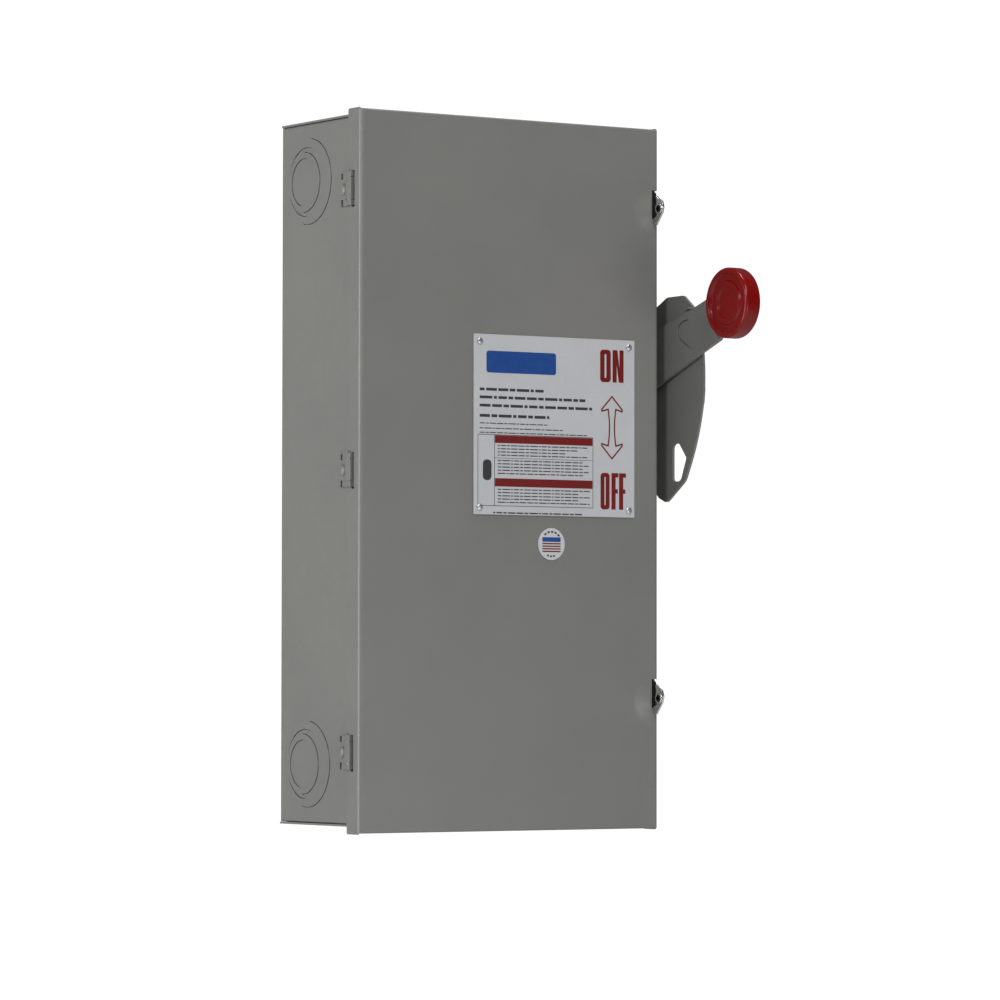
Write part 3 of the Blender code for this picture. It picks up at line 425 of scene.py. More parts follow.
def turned(profile, place, direction, steps=64):
    """A turned shape from a profile of (radius, height), with height along direction."""
    shape = bmesh.new()
    row, edges = chain(shape, [(radius, 0.0, height) for radius, height in profile])
    about = {"cent": (0, 0, 0), "axis": (0, 0, 1), "angle": 2 * math.pi}
    bmesh.ops.spin(shape, geom=row + edges, steps=steps, use_merge=True, **about)
    bmesh.ops.remove_doubles(shape, verts=shape.verts, dist=TINY / 10)
    bmesh.ops.recalc_face_normals(shape, faces=shape.faces)
    turn = Vector((0, 0, 1)).rotation_difference(Vector(direction)).to_matrix().to_4x4()
    shape.transform(Matrix.Translation(place) @ turn)
    return shape


def smooth_profile(corners, steps=5):
    """A turned piece's profile through corners (radius, height, rounding)."""
    return [(max(point.x, 0.0), point.y) for point in rounded(corners, closed=False, steps=steps)]


def pin_profile(radius, low, high, low_edge=0.0004):
    return smooth_profile([(0, high, 0), (radius, high, 0.0004), (radius, low, low_edge), (0, low, 0)])


def dome(radius, height, steps):
    """A rivet head's profile, from its top down to its rim."""
    angles = [math.pi / 2 * step / steps for step in range(steps + 1)]
    return [(radius * math.sin(a), height * math.cos(a)) for a in angles]


def merged(*shapes):
    """One shape that holds several separate ones."""
    whole = bmesh.new()
    for shape in shapes:
        part = bpy.data.meshes.new("part")
        shape.to_mesh(part)
        shape.free()
        whole.from_mesh(part)
        bpy.data.meshes.remove(part)
    return whole


# Objects


def linked(name, data):
    obj = bpy.data.objects.new(name, data)
    bpy.context.scene.collection.objects.link(obj)
    return obj


def new_object(name, shape, turn_faces=True):
    mesh = bpy.data.meshes.new(name)
    if turn_faces:
        bmesh.ops.recalc_face_normals(shape, faces=shape.faces)
    shape.to_mesh(mesh)
    shape.free()
    return linked(name, mesh)


def add_modifier(obj, kind, **settings):
    modifier = obj.modifiers.new(kind.lower(), kind)
    for setting, value in settings.items():
        setattr(modifier, setting, value)


def modify(obj, kind, **settings):
    """Puts a modifier's result into the object's mesh."""
    add_modifier(obj, kind, **settings)
    graph = bpy.context.evaluated_depsgraph_get()
    mesh = bpy.data.meshes.new_from_object(obj.evaluated_get(graph))
    obj.modifiers.clear()
    obj.data = mesh


def boolean(obj, shape, operation):
    tool = new_object("tool", shape)
    modify(obj, "BOOLEAN", operation=operation, object=tool, solver="EXACT")
    bpy.data.objects.remove(tool)


def cut(obj, shape):
    boolean(obj, shape, "DIFFERENCE")


def join(obj, shape):
    boolean(obj, shape, "UNION")


def thicken(obj, thickness):
    modify(obj, "SOLIDIFY", thickness=thickness, offset=-1.0, use_even_offset=True)


def soften(obj, width, segments=2, angle=40.0):
    """Rounds the sharp edges."""
    limit = math.radians(angle)
    modify(obj, "BEVEL", width=width, segments=segments, limit_method="ANGLE", angle_limit=limit)


def tidy_mesh(obj):
    """Merges the flat faces that a Boolean leaves split."""
    shape = whole_faces(obj.data, 0.3)
    shape.to_mesh(obj.data)
    shape.free()


def finish_piece(obj, material, body, slot, replaced=(), sharp=32.0, weighted=True):
    """Shades a piece, gives it its material, and lets it ride on its body."""
    obj.data.materials.clear()
    obj.data.materials.append(material)
    obj.data.shade_smooth()
    obj.data.set_sharp_from_angle(angle=math.radians(sharp))
    if weighted:
        add_modifier(obj, "WEIGHTED_NORMAL", keep_sharp=True, weight=80)
    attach(obj, body)
    if replaced:
        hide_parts(*replaced)
    return obj


def add_piece(name, shape, *finish, **options):
    """A piece that needs nothing more than its finish."""
    return finish_piece(new_object(name, shape), *finish, **options)


# Folded sheet


def fold(shape, edges, steps):
    """Carries free edges through the steps, and gives back the last row of edges."""
    for step in steps:
        made = bmesh.ops.extrude_edge_only(shape, edges=edges)["geom"]
        verts = {item for item in made if isinstance(item, bmesh.types.BMVert)}
        bmesh.ops.translate(shape, verts=list(verts), vec=step)
        edges = [item for item in made if isinstance(item, bmesh.types.BMEdge) and set(item.verts) <= verts]
    return edges


def bend_steps(into, along, radius, flat):
    """Steps that turn a sheet from direction along to direction into on a radius, then carry it on flat."""
    into, along = Vector(into), Vector(along)
    angles = [math.pi / 2 * step / 8 for step in range(9)]
    places = [into * radius * (1 - math.cos(a)) + along * radius * math.sin(a) for a in angles]
    steps = [after - before for before, after in zip(places, places[1:])]
    return steps + [into * (flat - radius)]


def sheet_from_path(path, levels):
    shape = bmesh.new()
    edges = chain(shape, [(x, y, levels[0]) for x, y in path])[1]
    for below, above in zip(levels, levels[1:]):
        edges = fold(shape, edges, [(0, 0, above - below)])
    return shape


def free_edges(shape, height, inside):
    return [
        edge
        for edge in shape.edges
        if all(abs(vert.co.z - height) < TINY and inside(vert.co) for vert in edge.verts)
    ]


# The enclosure

KNOCKOUT_MIDDLE = 0.0008
KNOCKOUT_REACH = 0.2126
K1, K2, K3, K4 = 0.01745, 0.022, 0.0252, 0.03135
K_INNER_Y, K3_Y, K4_Y = -0.0328, -0.0361, -0.0393
SLIT = 0.0005
SLIT_DEPTH = 0.0022
SLIT_ARCS = (
    (K1, K_INNER_Y, ((-72, 63), (3, 95))),
    (K2, K_INNER_Y, ((92, 80), (182, 90))),
    (K3, K3_Y, ((51, 57), (-90, 36))),
    (K4, K4_Y, ((97, 64), (173, 112))),
)
WALL_SLOT_HALF = 0.012
SHAFT_HOLE = 0.0083
SCREW_HOLE = 0.0025
MOUNTING_X, MOUNTING_Z, MOUNTING_HOLE = 0.076, 0.215, 0.004
RAISED_RINGS = ((K1, K2, K_INNER_Y, K_INNER_Y), (K3, K4, K3_Y, K4_Y))
END_KNOCKOUT_Y = -0.052


def knockout_slits(centre_of, plane, offset):
    """The hairline gaps of the struck rings, broken by tie tabs. centre_of places a ring from its Y."""
    slits = []
    for radius, y, arcs in SLIT_ARCS:
        for start, sweep in arcs:
            outline = sector(radius - SLIT / 2, radius + SLIT / 2, centre_of(y), start, sweep)
            slits.append(plate([outline], SLIT_DEPTH, plane, offset))
    return slits


def raise_rings(obj, centre_of, plane, offset):
    for inner, outer, inner_y, outer_y in RAISED_RINGS:
        outlines = [circle(outer, *centre_of(outer_y), 96), circle(inner, *centre_of(inner_y), 96)]
        join(obj, plate(outlines, 2 * KNOCKOUT_RAISE, plane, offset))


def hinge_holes(z):
    rivet_y = middle("hinge_rivet_middle").y - RIVET_FORWARD
    bores = ((rivet_y, z, 0.0022), (rivet_y + 0.0064, z + 0.0004, 0.0018))
    holes = [rod((-0.132, y, height), (-0.12, y, height), radius) for y, height, radius in bores]
    for low, high in ((-0.0123, -0.0073), (0.0073, 0.0117)):
        slot = rectangle(FRONT + 0.0266, z + low, FRONT + 0.0292, z + high, 0.0005)
        holes.append(plate([slot], 0.012, SIDEWAYS, (-0.126, 0, 0)))
    return holes


def enclosure_body():
    relief_front, relief_back = RIM + 0.0045, -0.004
    left = [(-SIDE + LIP, RIM, 0), (-SIDE, RIM, BOX_BEND), (-SIDE, relief_front, 0)]
    left += [(-SIDE, relief_back, 0), (-SIDE, 0.0, BOX_BEND)]
    right = [(-x, y, radius) for x, y, radius in reversed(left)]
    path = rounded(left + right, closed=False, steps=8)
    bottom = BOX_BOTTOM + SHEET + GAP + BOX_BEND
    top = BOX_TOP - SHEET - GAP - BOX_BEND
    shape = sheet_from_path(path, [bottom, top])
    for height, up in ((bottom, -1), (top, 1)):
        for side in (-1, 1):
            def on_wall(co, side=side):
                return abs(co.x - side * SIDE) < TINY and relief_front - TINY < co.y < relief_back + TINY
            wall = free_edges(shape, height, on_wall)
            fold(shape, wall, bend_steps((-side, 0, 0), (0, 0, up), BOX_BEND, RETURN))
        rest = free_edges(shape, height, lambda co: True)
        upright = [edge for edge in rest if max(vert.co.y for vert in edge.verts) > relief_back + TINY]
        fold(shape, upright, [(0, 0, up * BOX_BEND)])
    body = new_object("enclosure_shell", shape)
    thicken(body, SHEET)
    holes = []
    for side in (-1, 1):
        for end in (-1, 1):
            def centre_of(y, z=KNOCKOUT_MIDDLE + end * KNOCKOUT_REACH):
                return y, z
            raise_rings(body, centre_of, SIDEWAYS, (side * SIDE, 0, 0))
            holes += knockout_slits(centre_of, SIDEWAYS, (side * SIDE, 0, 0))
    for x in (-MOUNTING_X, MOUNTING_X):
        for z in (-MOUNTING_Z, MOUNTING_Z):
            holes.append(rod((x, -0.01, z), (x, 0.01, z), MOUNTING_HOLE))
    for z in HINGE_Z:
        holes += hinge_holes(z)
        holes.append(box((-0.13, FRONT + 0.0112, z - 0.0138), (-0.12, FRONT + 0.0168, z - 0.0122)))
    for z in LATCH_Z:
        low, high = z - WALL_SLOT_HALF, z + WALL_SLOT_HALF
        holes.append(box((0.115, RIM - 0.002, low), (0.13, FRONT + 0.024, high)))
    holes.append(side_bore(PIVOT, SHAFT_HOLE))
    holes += [side_bore(place, SCREW_HOLE) for place in FOOT_SCREWS]
    cut(body, merged(*holes))
    tidy_mesh(body)
    finish_piece(body, PAINT, "enclosure", "grey_paint", ["enclosure_body"])


def end_wall(node, height, up):
    inner_edge = SIDE - LIP - 0.0005
    shape = bmesh.new()
    rear = chain(shape, [(x, 0.0, height) for x in (-SIDE, -inner_edge, inner_edge, SIDE)])[1]
    edges = fold(shape, rear, [(0, RIM + BOX_BEND, 0)])
    inner = [edge for edge in edges if all(abs(vert.co.x) < inner_edge + TINY for vert in edge.verts)]
    outer = [edge for edge in edges if edge not in inner]
    fold(shape, inner, bend_steps((0, 0, -up), (0, -1, 0), BOX_BEND, 0.014))
    fold(shape, outer, [(0, -BOX_BEND, 0)])
    bmesh.ops.recalc_face_normals(shape, faces=shape.faces)
    if any(abs(face.normal.z) > 0.99 and face.normal.z * up < 0 for face in shape.faces):
        bmesh.ops.reverse_faces(shape, faces=shape.faces)
    wall = new_object(f"{node}_panel", shape, turn_faces=False)
    thicken(wall, SHEET)
    def centre_of(_):
        return 0, END_KNOCKOUT_Y
    raise_rings(wall, centre_of, LEVEL, (0, 0, height))
    cut(wall, merged(*knockout_slits(centre_of, LEVEL, (0, 0, height))))
    tidy_mesh(wall)
    finish_piece(wall, PAINT, "enclosure", "grey_paint", [node])


# The cover

LATCH_PIN_HOLE = 0.0015
LABEL_RIVET_HOLE = 0.0016

def pan_block(name, inset):
    """The cover's outside, drawn in by inset. Its short edges are bent tighter than its long ones."""
    half, height = COVER_HALF_WIDTH - inset, COVER_HIGH.z - inset
    front, rear = FRONT + inset, COVER_REAR + inset
    side_bend, end_bend = COVER_BEND - inset, END_BEND - inset
    across = [(-half, rear, 0), (-half, front, side_bend), (half, front, side_bend), (half, rear, 0)]
    upright = [(rear, -height, 0), (front, -height, end_bend), (front, height, end_bend), (rear, height, 0)]
    block = new_object(name, plate([rounded(across, steps=10)], 2 * height, LEVEL, (0, 0, 0)))
    boolean(block, plate([rounded(upright, steps=6)], 3 * half, SIDEWAYS, (0, 0, 0)), "INTERSECT")
    return block


def taken_shape(obj):
    """The object's mesh as a shape, with the object gone."""
    shape = bmesh.new()
    shape.from_mesh(obj.data)
    bpy.data.objects.remove(obj)
    return shape


def hinge_pin_bore(z):
    return rod((HINGE_X, HINGE_Y, z - 0.0135), (HINGE_X, HINGE_Y, z + 0.0135), 0.0014)


def cover_pan():
    pan = pan_block("cover_pan", 0.0)
    inside = pan_block("inside", SHEET)
    cut(pan, taken_shape(inside))
    ears = []
    bend = FRONT + COVER_BEND
    for side in (-1, 1):
        for end in (-1, 1):
            tip = end * (COVER_HIGH.z + EAR)
            root = end * (COVER_HIGH.z - 0.004)
            corners = [(bend, root, 0), (bend, tip, 0), (COVER_REAR, tip, 0.0012), (COVER_REAR, root, 0)]
            x = side * (COVER_HALF_WIDTH - SHEET / 2)
            ears.append(plate([rounded(corners)], SHEET, SIDEWAYS, (x, 0, 0)))
    join(pan, merged(*ears))
    openings = []
    for z in HINGE_Z:
        openings.append(box((-0.135, FRONT + 0.0088, z - 0.0136), (-0.12, COVER_REAR + 0.005, z + 0.0127)))
    for z in LATCH_Z:
        openings.append(box((0.1244, FRONT - 0.005, z - 0.0107), (0.14, FRONT + NOTCH_DEPTH, z + 0.0107)))
    cut(pan, merged(*openings))
    knuckles = [cover_knuckle(z, side) for z in HINGE_Z for side in (-1, 1)]
    for z in LATCH_Z:
        near, far, low, high = FRONT + SHEET / 2, FRONT + 0.012, z - 0.009, z + 0.0095
        bracket = [(near, low, 0), (far, low, 0.003), (far, high, 0.003), (near, high, 0)]
        knuckles.append(plate([rounded(bracket)], 0.0018, SIDEWAYS, (0.1231, 0, 0)))
    join(pan, merged(*knuckles))
    holes = [hinge_pin_bore(z) for z in HINGE_Z]
    holes += [side_bore(place, LATCH_PIN_HOLE) for place in LATCH_PIVOTS.values()]
    for x, _, z in LABEL_RIVETS:
        holes.append(rod((x, FRONT - 0.005, z), (x, FRONT + 0.005, z), LABEL_RIVET_HOLE))
    cut(pan, merged(*holes))
    tidy_mesh(pan)
    soften(pan, 0.0002, segments=1, angle=60.0)
    finish_piece(pan, COVER_PAINT, "cover", "grey_paint", ["cover"])


def cover_knuckle(z, side):
    inner, outer = 0.0083, 0.0123
    inside, behind_flange = -0.1276, -0.1288
    strap = [(inside, HINGE_Y, 0), (inside, FRONT + 0.008, 0), (behind_flange, FRONT + 0.008, 0)]
    tongue = [(behind_flange, LEAF_NOSE, 0), (ROLL_OUTSIDE, LEAF_NOSE, 0.0006), (ROLL_OUTSIDE, HINGE_Y, 0)]
    height = z + side * (inner + outer) / 2
    knuckle = new_object("knuckle", plate([rounded(strap + tongue)], outer - inner, LEVEL, (0, 0, height)))
    half = Vector((0, 0, (outer - inner) / 2))
    centre = Vector((HINGE_X, HINGE_Y, height))
    join(knuckle, rod(centre - half, centre + half, ROLL_RADIUS))
    return taken_shape(knuckle)


def hinges():
    outside, inside = -0.129, -0.1275
    rear, front = FRONT + 0.0314, FRONT + 0.0186
    half, knuckle = 0.0121, 0.008
    for name, z in HINGE_HEIGHTS.items():
        corners = [(rear, -half, 0.0012), (front, -half, 0.0012)]
        corners += [(front, -knuckle, 0.0004), (HINGE_Y, -knuckle, 0)]
        corners += [(y, -height, radius) for y, height, radius in reversed(corners)]
        outline = [Vector((point.x, z + point.y)) for point in rounded(corners)]
        sheet = plate([outline], inside - outside, SIDEWAYS, ((outside + inside) / 2, 0, 0))
        leaf = new_object(f"leaf_{name}", sheet)
        roll = [(inside, front + 0.002, 0), (inside, LEAF_NOSE, 0), (ROLL_OUTSIDE, LEAF_NOSE, 0.0006)]
        roll += [(ROLL_OUTSIDE, HINGE_Y + 0.0022, 0.003), (outside, FRONT + 0.0235, 0.004)]
        roll += [(outside, FRONT + 0.025, 0), (inside, FRONT + 0.025, 0)]
        join(leaf, plate([rounded(roll)], 2 * knuckle, LEVEL, (0, 0, z)))
        cut(leaf, merged(hinge_pin_bore(z), *hinge_holes(z)))
        tidy_mesh(leaf)
        finish_piece(leaf, PAINT, "enclosure", "grey_paint", [f"hinge_leaf_{name}"])
        pin = turned(pin_profile(0.0011, -0.0122, 0.0122), (HINGE_X, HINGE_Y, z), (0, 0, 1), 32)
        add_piece(f"pin_{name}", pin, PLATING, "enclosure", "plating", [f"hinge_pin_{name}"])
        tail = -0.0039
        shank = [(0.0019, 0.0), (0.0019, tail), (0.0034, tail), (0.003, tail - 0.001), (0, tail - 0.001)]
        place = (outside - GAP, middle(f"hinge_rivet_{name}").y - RIVET_FORWARD, z)
        rivet = turned(dome(0.0042, 0.0017, 10) + shank, place, (-1, 0, 0))
        add_piece(f"rivet_{name}", rivet, PAINT, "enclosure", "grey_paint", [f"hinge_rivet_{name}"])


# Latches


TAB_CORNERS = (
    (2.0, 8.7, 0.8), (6.4, 4.3, 1.5), (11.0, 2.3, 2.0), (12.6, -2.4, 3.0), (11.4, -6.6, 3.0),
    (3.8, -15.6, 1.2), (1.6, -15.2, 0.6), (1.6, -10.2, 0.3), (5.0, -7.9, 1.5), (2.6, -3.0, 2.0),
    (4.2, 2.0, 2.0)
)
HOOK_CORNERS = (
    (0.2, 9.5, 0.5), (1.7, 8.2, 0.5), (3.9, 2.0, 0.5), (2.3, -3.0, 1.0), (3.6, -6.6, 0.5), (1.3, -9.6, 0.5),
    (-3.0, -10.2, 0.5), (-8.0, 2.5, 1.0), (-17.0, 3.0, 1.0), (-15.0, 8.0, 1.5), (-4.0, 10.3, 1.0),
    (-1.4, 10.3, 0.8)
)


def latch(name):
    """A plated finger tab with a rolled eyelet, on a hook that reaches behind the cover's face. The
    near-black hook and the near-black ring inside the eyelet are painted shade for the dark notch and the
    dark hole.
    """
    pivot = LATCH_PIVOTS[name]
    z = LATCH_HEIGHTS[name]
    body = f"{name}_latch"
    eye = (FRONT - 0.0072, z - 0.0035)
    tab = latch_plate(f"latch_tab_{name}", TAB_CORNERS, z, pivot.x, circle(0.0024, *eye, 48))
    finish_piece(tab, PLATING, body, "plating", [f"latch_{name}"])
    pin_hole = circle(LATCH_PIN_HOLE, pivot.y, pivot.z, 32)
    # The hook's near-black steel is painted shade where it lies in the notch.
    hook = latch_plate(f"latch_hook_{name}", HOOK_CORNERS, z, pivot.x, pin_hole)
    finish_piece(hook, SHADE_BLACK, body, "spring_steel")
    eyelet = (pivot.x - 0.0009, *eye)
    angles = [math.pi * step / 8 for step in range(9)]
    roll = [(0.0033 + 0.0007 * math.cos(a), 0.0007 * math.sin(a)) for a in angles]
    collar = turned([(0.0026, -0.0004), (0.004, -0.0004), *roll, (0.0026, -0.0004)], eyelet, (-1, 0, 0))
    add_piece(f"latch_collar_{name}", collar, PLATING, body, "plating", sharp=60.0)
    # A near-black ring inside the eyelet: painted shade in the hole.
    shade_profile = [(0.0019, 0.001), (0.0023, 0.001), (0.0023, -0.0016)]
    shade_profile += [(0, -0.0016), (0, -0.0013), (0.0019, -0.0013)]
    shade_shape = turned(shade_profile + shade_profile[:1], eyelet, (-1, 0, 0))
    add_piece(f"latch_eyelet_shade_{name}", shade_shape, SHADE_BLACK, body, "spring_steel")
    pin = turned(pin_profile(0.0012, 0.0, 0.0064, 0.0002), (0.122, pivot.y, pivot.z), (1, 0, 0), 32)
    add_piece(f"latch_pivot_{name}", pin, STEEL, "cover", "plating", [f"latch_pin_{name}"])


def latch_plate(name, corners, z, x, hole):
    """A flat latch piece through corners (forward, up, radius) in millimetres from the notch's middle."""
    outline = rounded([(FRONT - fwd / 1000, z + up / 1000, radius / 1000) for fwd, up, radius in corners])
    piece = new_object(name, plate([outline, hole], 0.0015, SIDEWAYS, (x, 0, 0)))
    soften(piece, 0.00025)
    return piece


# Outside handle

SHAFT_FIT = 0.0063

def from_pivot(points):
    """Turns (forward, up, radius) from the handle's pivot in millimetres into (y, z, radius)."""
    return [(PIVOT.y - forward / 1000, PIVOT.z + up / 1000, radius / 1000) for forward, up, radius in points]


def handle_base():
    plate_x, thickness = 0.1482, 0.002
    back = [(-28.0, -33.0, 0), (-28.0, 24.5, 0), (36.8, 53.7, 8), (46.9, 58.6, 3), (68.0, 58.8, 6)]
    front = [(81.4, 48.9, 2), (91.0, 26.0, 80), (95.3, 0.0, 160), (92.0, -27.0, 160), (83.0, -55.0, 160)]
    tail = [(70.0, -79.6, 12), (46.0, -95.5, 6), (36.1, -91.5, 5)]
    padlock = [(54.0, -79.8, 3), (54.0, -51.6, 4.5), (62.4, -51.4, 3), (72.0, -62.5, 2.5), (64.5, -79.8, 5)]
    outlines = [rounded(from_pivot(corners)) for corners in (back + front + tail, padlock)]
    outlines.append(circle(SHAFT_FIT, PIVOT.y, PIVOT.z))
    base = new_object("handle_bracket", plate(outlines, thickness, SIDEWAYS, (plate_x, 0, 0)))
    foot_outside = SIDE + GAP + thickness
    web_y = PIVOT.y + 0.036
    path = [(plate_x + 0.001, PIVOT.y + 0.022, 0), (plate_x + 0.001, web_y, 0.004), (SIDE + GAP, web_y, 0)]
    low, high = PIVOT.z - 0.037, PIVOT.z + 0.026
    strip = new_object("web", sheet_from_path(rounded(path, closed=False), [low, high]))
    thicken(strip, thickness)
    join(base, taken_shape(strip))
    foot = rectangle(web_y - 0.0012, low, -0.0045, high, 0.002)
    join(base, plate([foot], thickness, SIDEWAYS, (SIDE + GAP + thickness / 2, 0, 0)))
    stop = 0.144
    tab = rectangle(PIVOT.y - 0.0795, PIVOT.z + 0.0478, PIVOT.y - 0.0745, PIVOT.z + 0.0495, 0.0005)
    lug = rectangle(PIVOT.y - 0.005, PIVOT.z - 0.062, PIVOT.y, PIVOT.z - 0.058, 0.001)
    for outline in (tab, lug):
        join(base, plate([outline], plate_x - stop, SIDEWAYS, ((plate_x + stop) / 2, 0, 0)))
    cut(base, merged(*[side_bore(place, SCREW_HOLE, 0.126, 0.131) for place in FOOT_SCREWS]))
    tidy_mesh(base)
    finish_piece(base, PAINT, "enclosure", "grey_paint", ["handle_base"])
    for number, place in enumerate(FOOT_SCREWS, 1):
        screw_head(number, (foot_outside + GAP, place.y, place.z))


def screw_head(number, seat):
    corners = [(0, 0.0022, 0), (0.0034, 0.0021, 0.0012), (0.0042, 0.0004, 0.0003), (0.0042, 0.0, 0.0)]
    shank = [(0.0022, 0.0, 0), (0.0022, -0.0052, 0), (0, -0.0052, 0)]
    screw = new_object(f"foot_screw_{number}", turned(smooth_profile(corners + shank), seat, (1, 0, 0)))
    turn = Matrix.Translation(seat) @ Matrix.Rotation(0.5 * number, 4, "X")
    slot = box((0.0012, -0.003, -0.0004), (0.004, 0.003, 0.0004))
    slot.transform(turn)
    cut(screw, slot)
    finish_piece(screw, PLATING, "enclosure", "plating", [f"handle_base_screw_{number}"])


KNOB_REACH = 0.1495
ARM_END_RADIUS = 0.021
ARM_X = PIVOT.x
ARM_THICKNESS = 0.003


def crescent(points, widths):
    """An outline round a curved stroke through points, as wide as widths say."""
    count = len(points)
    spine, breadth = [], []
    for index in range(count - 1):
        a = points[max(index - 1, 0)]
        b, c = points[index], points[index + 1]
        d = points[min(index + 2, count - 1)]
        for step in range(10):
            t = step / 10
            square, cube = 2 * a - 5 * b + 4 * c - d, 3 * b - a - 3 * c + d
            spine.append(0.5 * (2 * b + (c - a) * t + square * t * t + cube * t**3))
            breadth.append(widths[index] * (1 - t) + widths[index + 1] * t)
    spine.append(points[-1])
    breadth.append(widths[-1])
    one, other = [], []
    for index, place in enumerate(spine):
        along = (spine[min(index + 1, len(spine) - 1)] - spine[max(index - 1, 0)]).normalized()
        across = Vector((-along.y, along.x)) * breadth[index] / 2
        one.append(place + across)
        other.append(place - across)
    return one + other[::-1]


def handle_arm():
    arm_end = KNOB_REACH - 0.027
    side = [(arm_end, 0.0172, 0.003), (0.097, 0.0177, 0), (0.0515, 0.0195, 0)]
    angles = [math.pi / 2 * step / 12 for step in range(12)]
    round_end = [(-ARM_END_RADIUS * math.sin(a), ARM_END_RADIUS * math.cos(a), 0) for a in angles]
    neck = [(KNOB_REACH - 0.0025, 0.012, 0.001), (arm_end, 0.012, 0.0008)]
    upper = neck + side + round_end
    lower = [(u, -v, radius) for u, v, radius in reversed(upper)]
    whole = upper + [(-ARM_END_RADIUS, 0.0, 0)] + lower
    corners = [(PIVOT.y - u, PIVOT.z + v, radius) for u, v, radius in whole]
    outlines = [rounded(corners), circle(SHAFT_FIT, PIVOT.y, PIVOT.z)]
    arm = new_object("operating_arm", plate(outlines, ARM_THICKNESS, SIDEWAYS, (ARM_X, 0, 0)))
    stroke = [(88.2, 11.7), (81.6, 12.9), (75.4, 11.3), (73.1, 7.6), (73.6, 3.6), (77.8, -2.4), (85.4, -10.0)]
    widths = [1.3, 1.7, 2.0, 1.7, 1.3, 0.9, 0.4]
    spine = [Vector((PIVOT.y - u / 1000, PIVOT.z + v / 1000)) for u, v in stroke]
    groove = crescent(spine, [width / 1000 for width in widths])
    cut(arm, plate([groove], 0.0024, SIDEWAYS, (ARM_X - ARM_THICKNESS / 2, 0, 0)))
    tidy_mesh(arm)
    soften(arm, 0.0003, angle=50.0)
    arm.data.transform(raise_matrix())
    finish_piece(arm, PAINT, "handle", "grey_paint", ["handle_arm"])


def raise_matrix():
    """Turns what is drawn level, pointing forward, to the arm's angle about the handle's pivot."""
    pivot = Matrix.Translation(PIVOT)
    return pivot @ Matrix.Rotation(-ARM_RISE, 4, "X") @ pivot.inverted()


def handle_knob():
    centre = middle("handle_knob")
    face = [(0, 0.0048, 0), (0.0109, 0.0048, 0.0007), (0.0119, 0.0062, 0.0007), (0.0157, 0.0062, 0.0006)]
    face += [(0.0167, 0.005, 0.0006), (0.0205, 0.0048, 0.0012), (0.0222, 0.007, 0.0008)]
    face.append((0.026, 0.007, 0.002))
    back = [(0.026, -0.0075, 0.004), (0.015, -0.0075, 0.0008), (0.0142, -0.0071, 0.0008), (0, -0.0071, 0)]
    knob = new_object("knob", turned(smooth_profile(face + back, 6), centre, (-1, 0, 0), 128))
    low = (ARM_X - ARM_THICKNESS / 2 - GAP, PIVOT.y - KNOB_REACH + 0.002, PIVOT.z - 0.013)
    high = (ARM_X + ARM_THICKNESS / 2 + GAP, PIVOT.y - KNOB_REACH + 0.03, PIVOT.z + 0.013)
    slot = box(low, high)
    slot.transform(raise_matrix())
    cut(knob, slot)
    finish_piece(knob, RED, "handle", "red_plastic", ["handle_knob"], sharp=40.0)


def shaft_pieces():
    start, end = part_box("handle_shaft")
    length = end.x - start.x
    profile = [(0, length, 0), (0.006, length, 0.0006), (0.006, length - 0.0018, 0)]
    profile += [(0.0054, length - 0.0018, 0), (0.0054, length - 0.0028, 0), (0.006, length - 0.0028, 0)]
    profile += [(0.006, 0, 0.0005), (0, 0, 0)]
    shaft = turned(smooth_profile(profile), (start.x, PIVOT.y, PIVOT.z), (1, 0, 0))
    add_piece("spindle", shaft, PLATING, "handle", "plating", ["handle_shaft"])
    tube = [(SHAFT_FIT, 0.0152, 0), (0.011, 0.0152, 0.0012), (0.011, 0.0, 0.0003), (0.008, 0.0, 0)]
    tube += [(0.008, -0.003, 0), (SHAFT_FIT, -0.003, 0), (SHAFT_FIT, 0.0152, 0)]
    bushing = turned(smooth_profile(tube), (SIDE + GAP, PIVOT.y, PIVOT.z), (1, 0, 0))
    add_piece("bushing", bushing, PLATING, "enclosure", "plating", ["shaft_bushing"])
    clip_low, clip_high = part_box("shaft_clip")
    outline = sector(SHAFT_FIT, 0.0092, (PIVOT.y, PIVOT.z), 20, 320, 64)
    clip = plate([outline], clip_high.x - clip_low.x, SIDEWAYS, ((clip_low.x + clip_high.x) / 2, 0, 0))
    ring = new_object("retaining_ring", clip)
    soften(ring, 0.0002)
    finish_piece(ring, STEEL, "handle", "spring_steel", ["shaft_clip"])


# The printed plate

PRINT_RISE = 0.00006


def print_on(name, shapes, material, face):
    """Ink of one colour: flat outlines that stand a little in front of a face, joined into one piece."""
    middle_y = face - PRINT_RISE / 2 + TINY
    sheets = [plate(outlines, PRINT_RISE, FACING, (0, middle_y, 0)) for outlines in shapes]
    add_piece(name, merged(*sheets), material, "cover", "label", weighted=False)


def nameplate():
    low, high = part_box("nameplate")
    corners = [(low.x, low.z), (high.x, low.z), (high.x, high.z), (low.x, high.z)]
    outline = rounded([(x, z, 0.0009) for x, z in corners])
    holes = [circle(LABEL_RIVET_HOLE, place.x, place.z, 32) for place in LABEL_RIVETS]
    flat = plate([outline] + holes, high.y - low.y, FACING, (0, (low.y + high.y) / 2, 0))
    sheet = new_object("label_plate", flat)
    soften(sheet, 0.00012)
    finish_piece(sheet, FILM, "cover", "label", ["nameplate"])
    shank = [(0.0013, 0.0), (0.0013, -0.004), (0, -0.004)]
    for number, place in enumerate(LABEL_RIVETS, 1):
        profile = [(0, 0.0006), (0.0007, 0.0006), (0.0009, 0.0009)] + dome(0.0025, 0.001, 8)[3:] + shank
        rivet = turned(profile, (place.x, low.y - GAP, place.z), (0, -1, 0), 48)
        add_piece(f"drive_rivet_{number}", rivet, ALUMINIUM, "cover", "rivet", [f"nameplate_rivet_{number}"])
    label_print(Vector((low.x, high.z)), low.y)


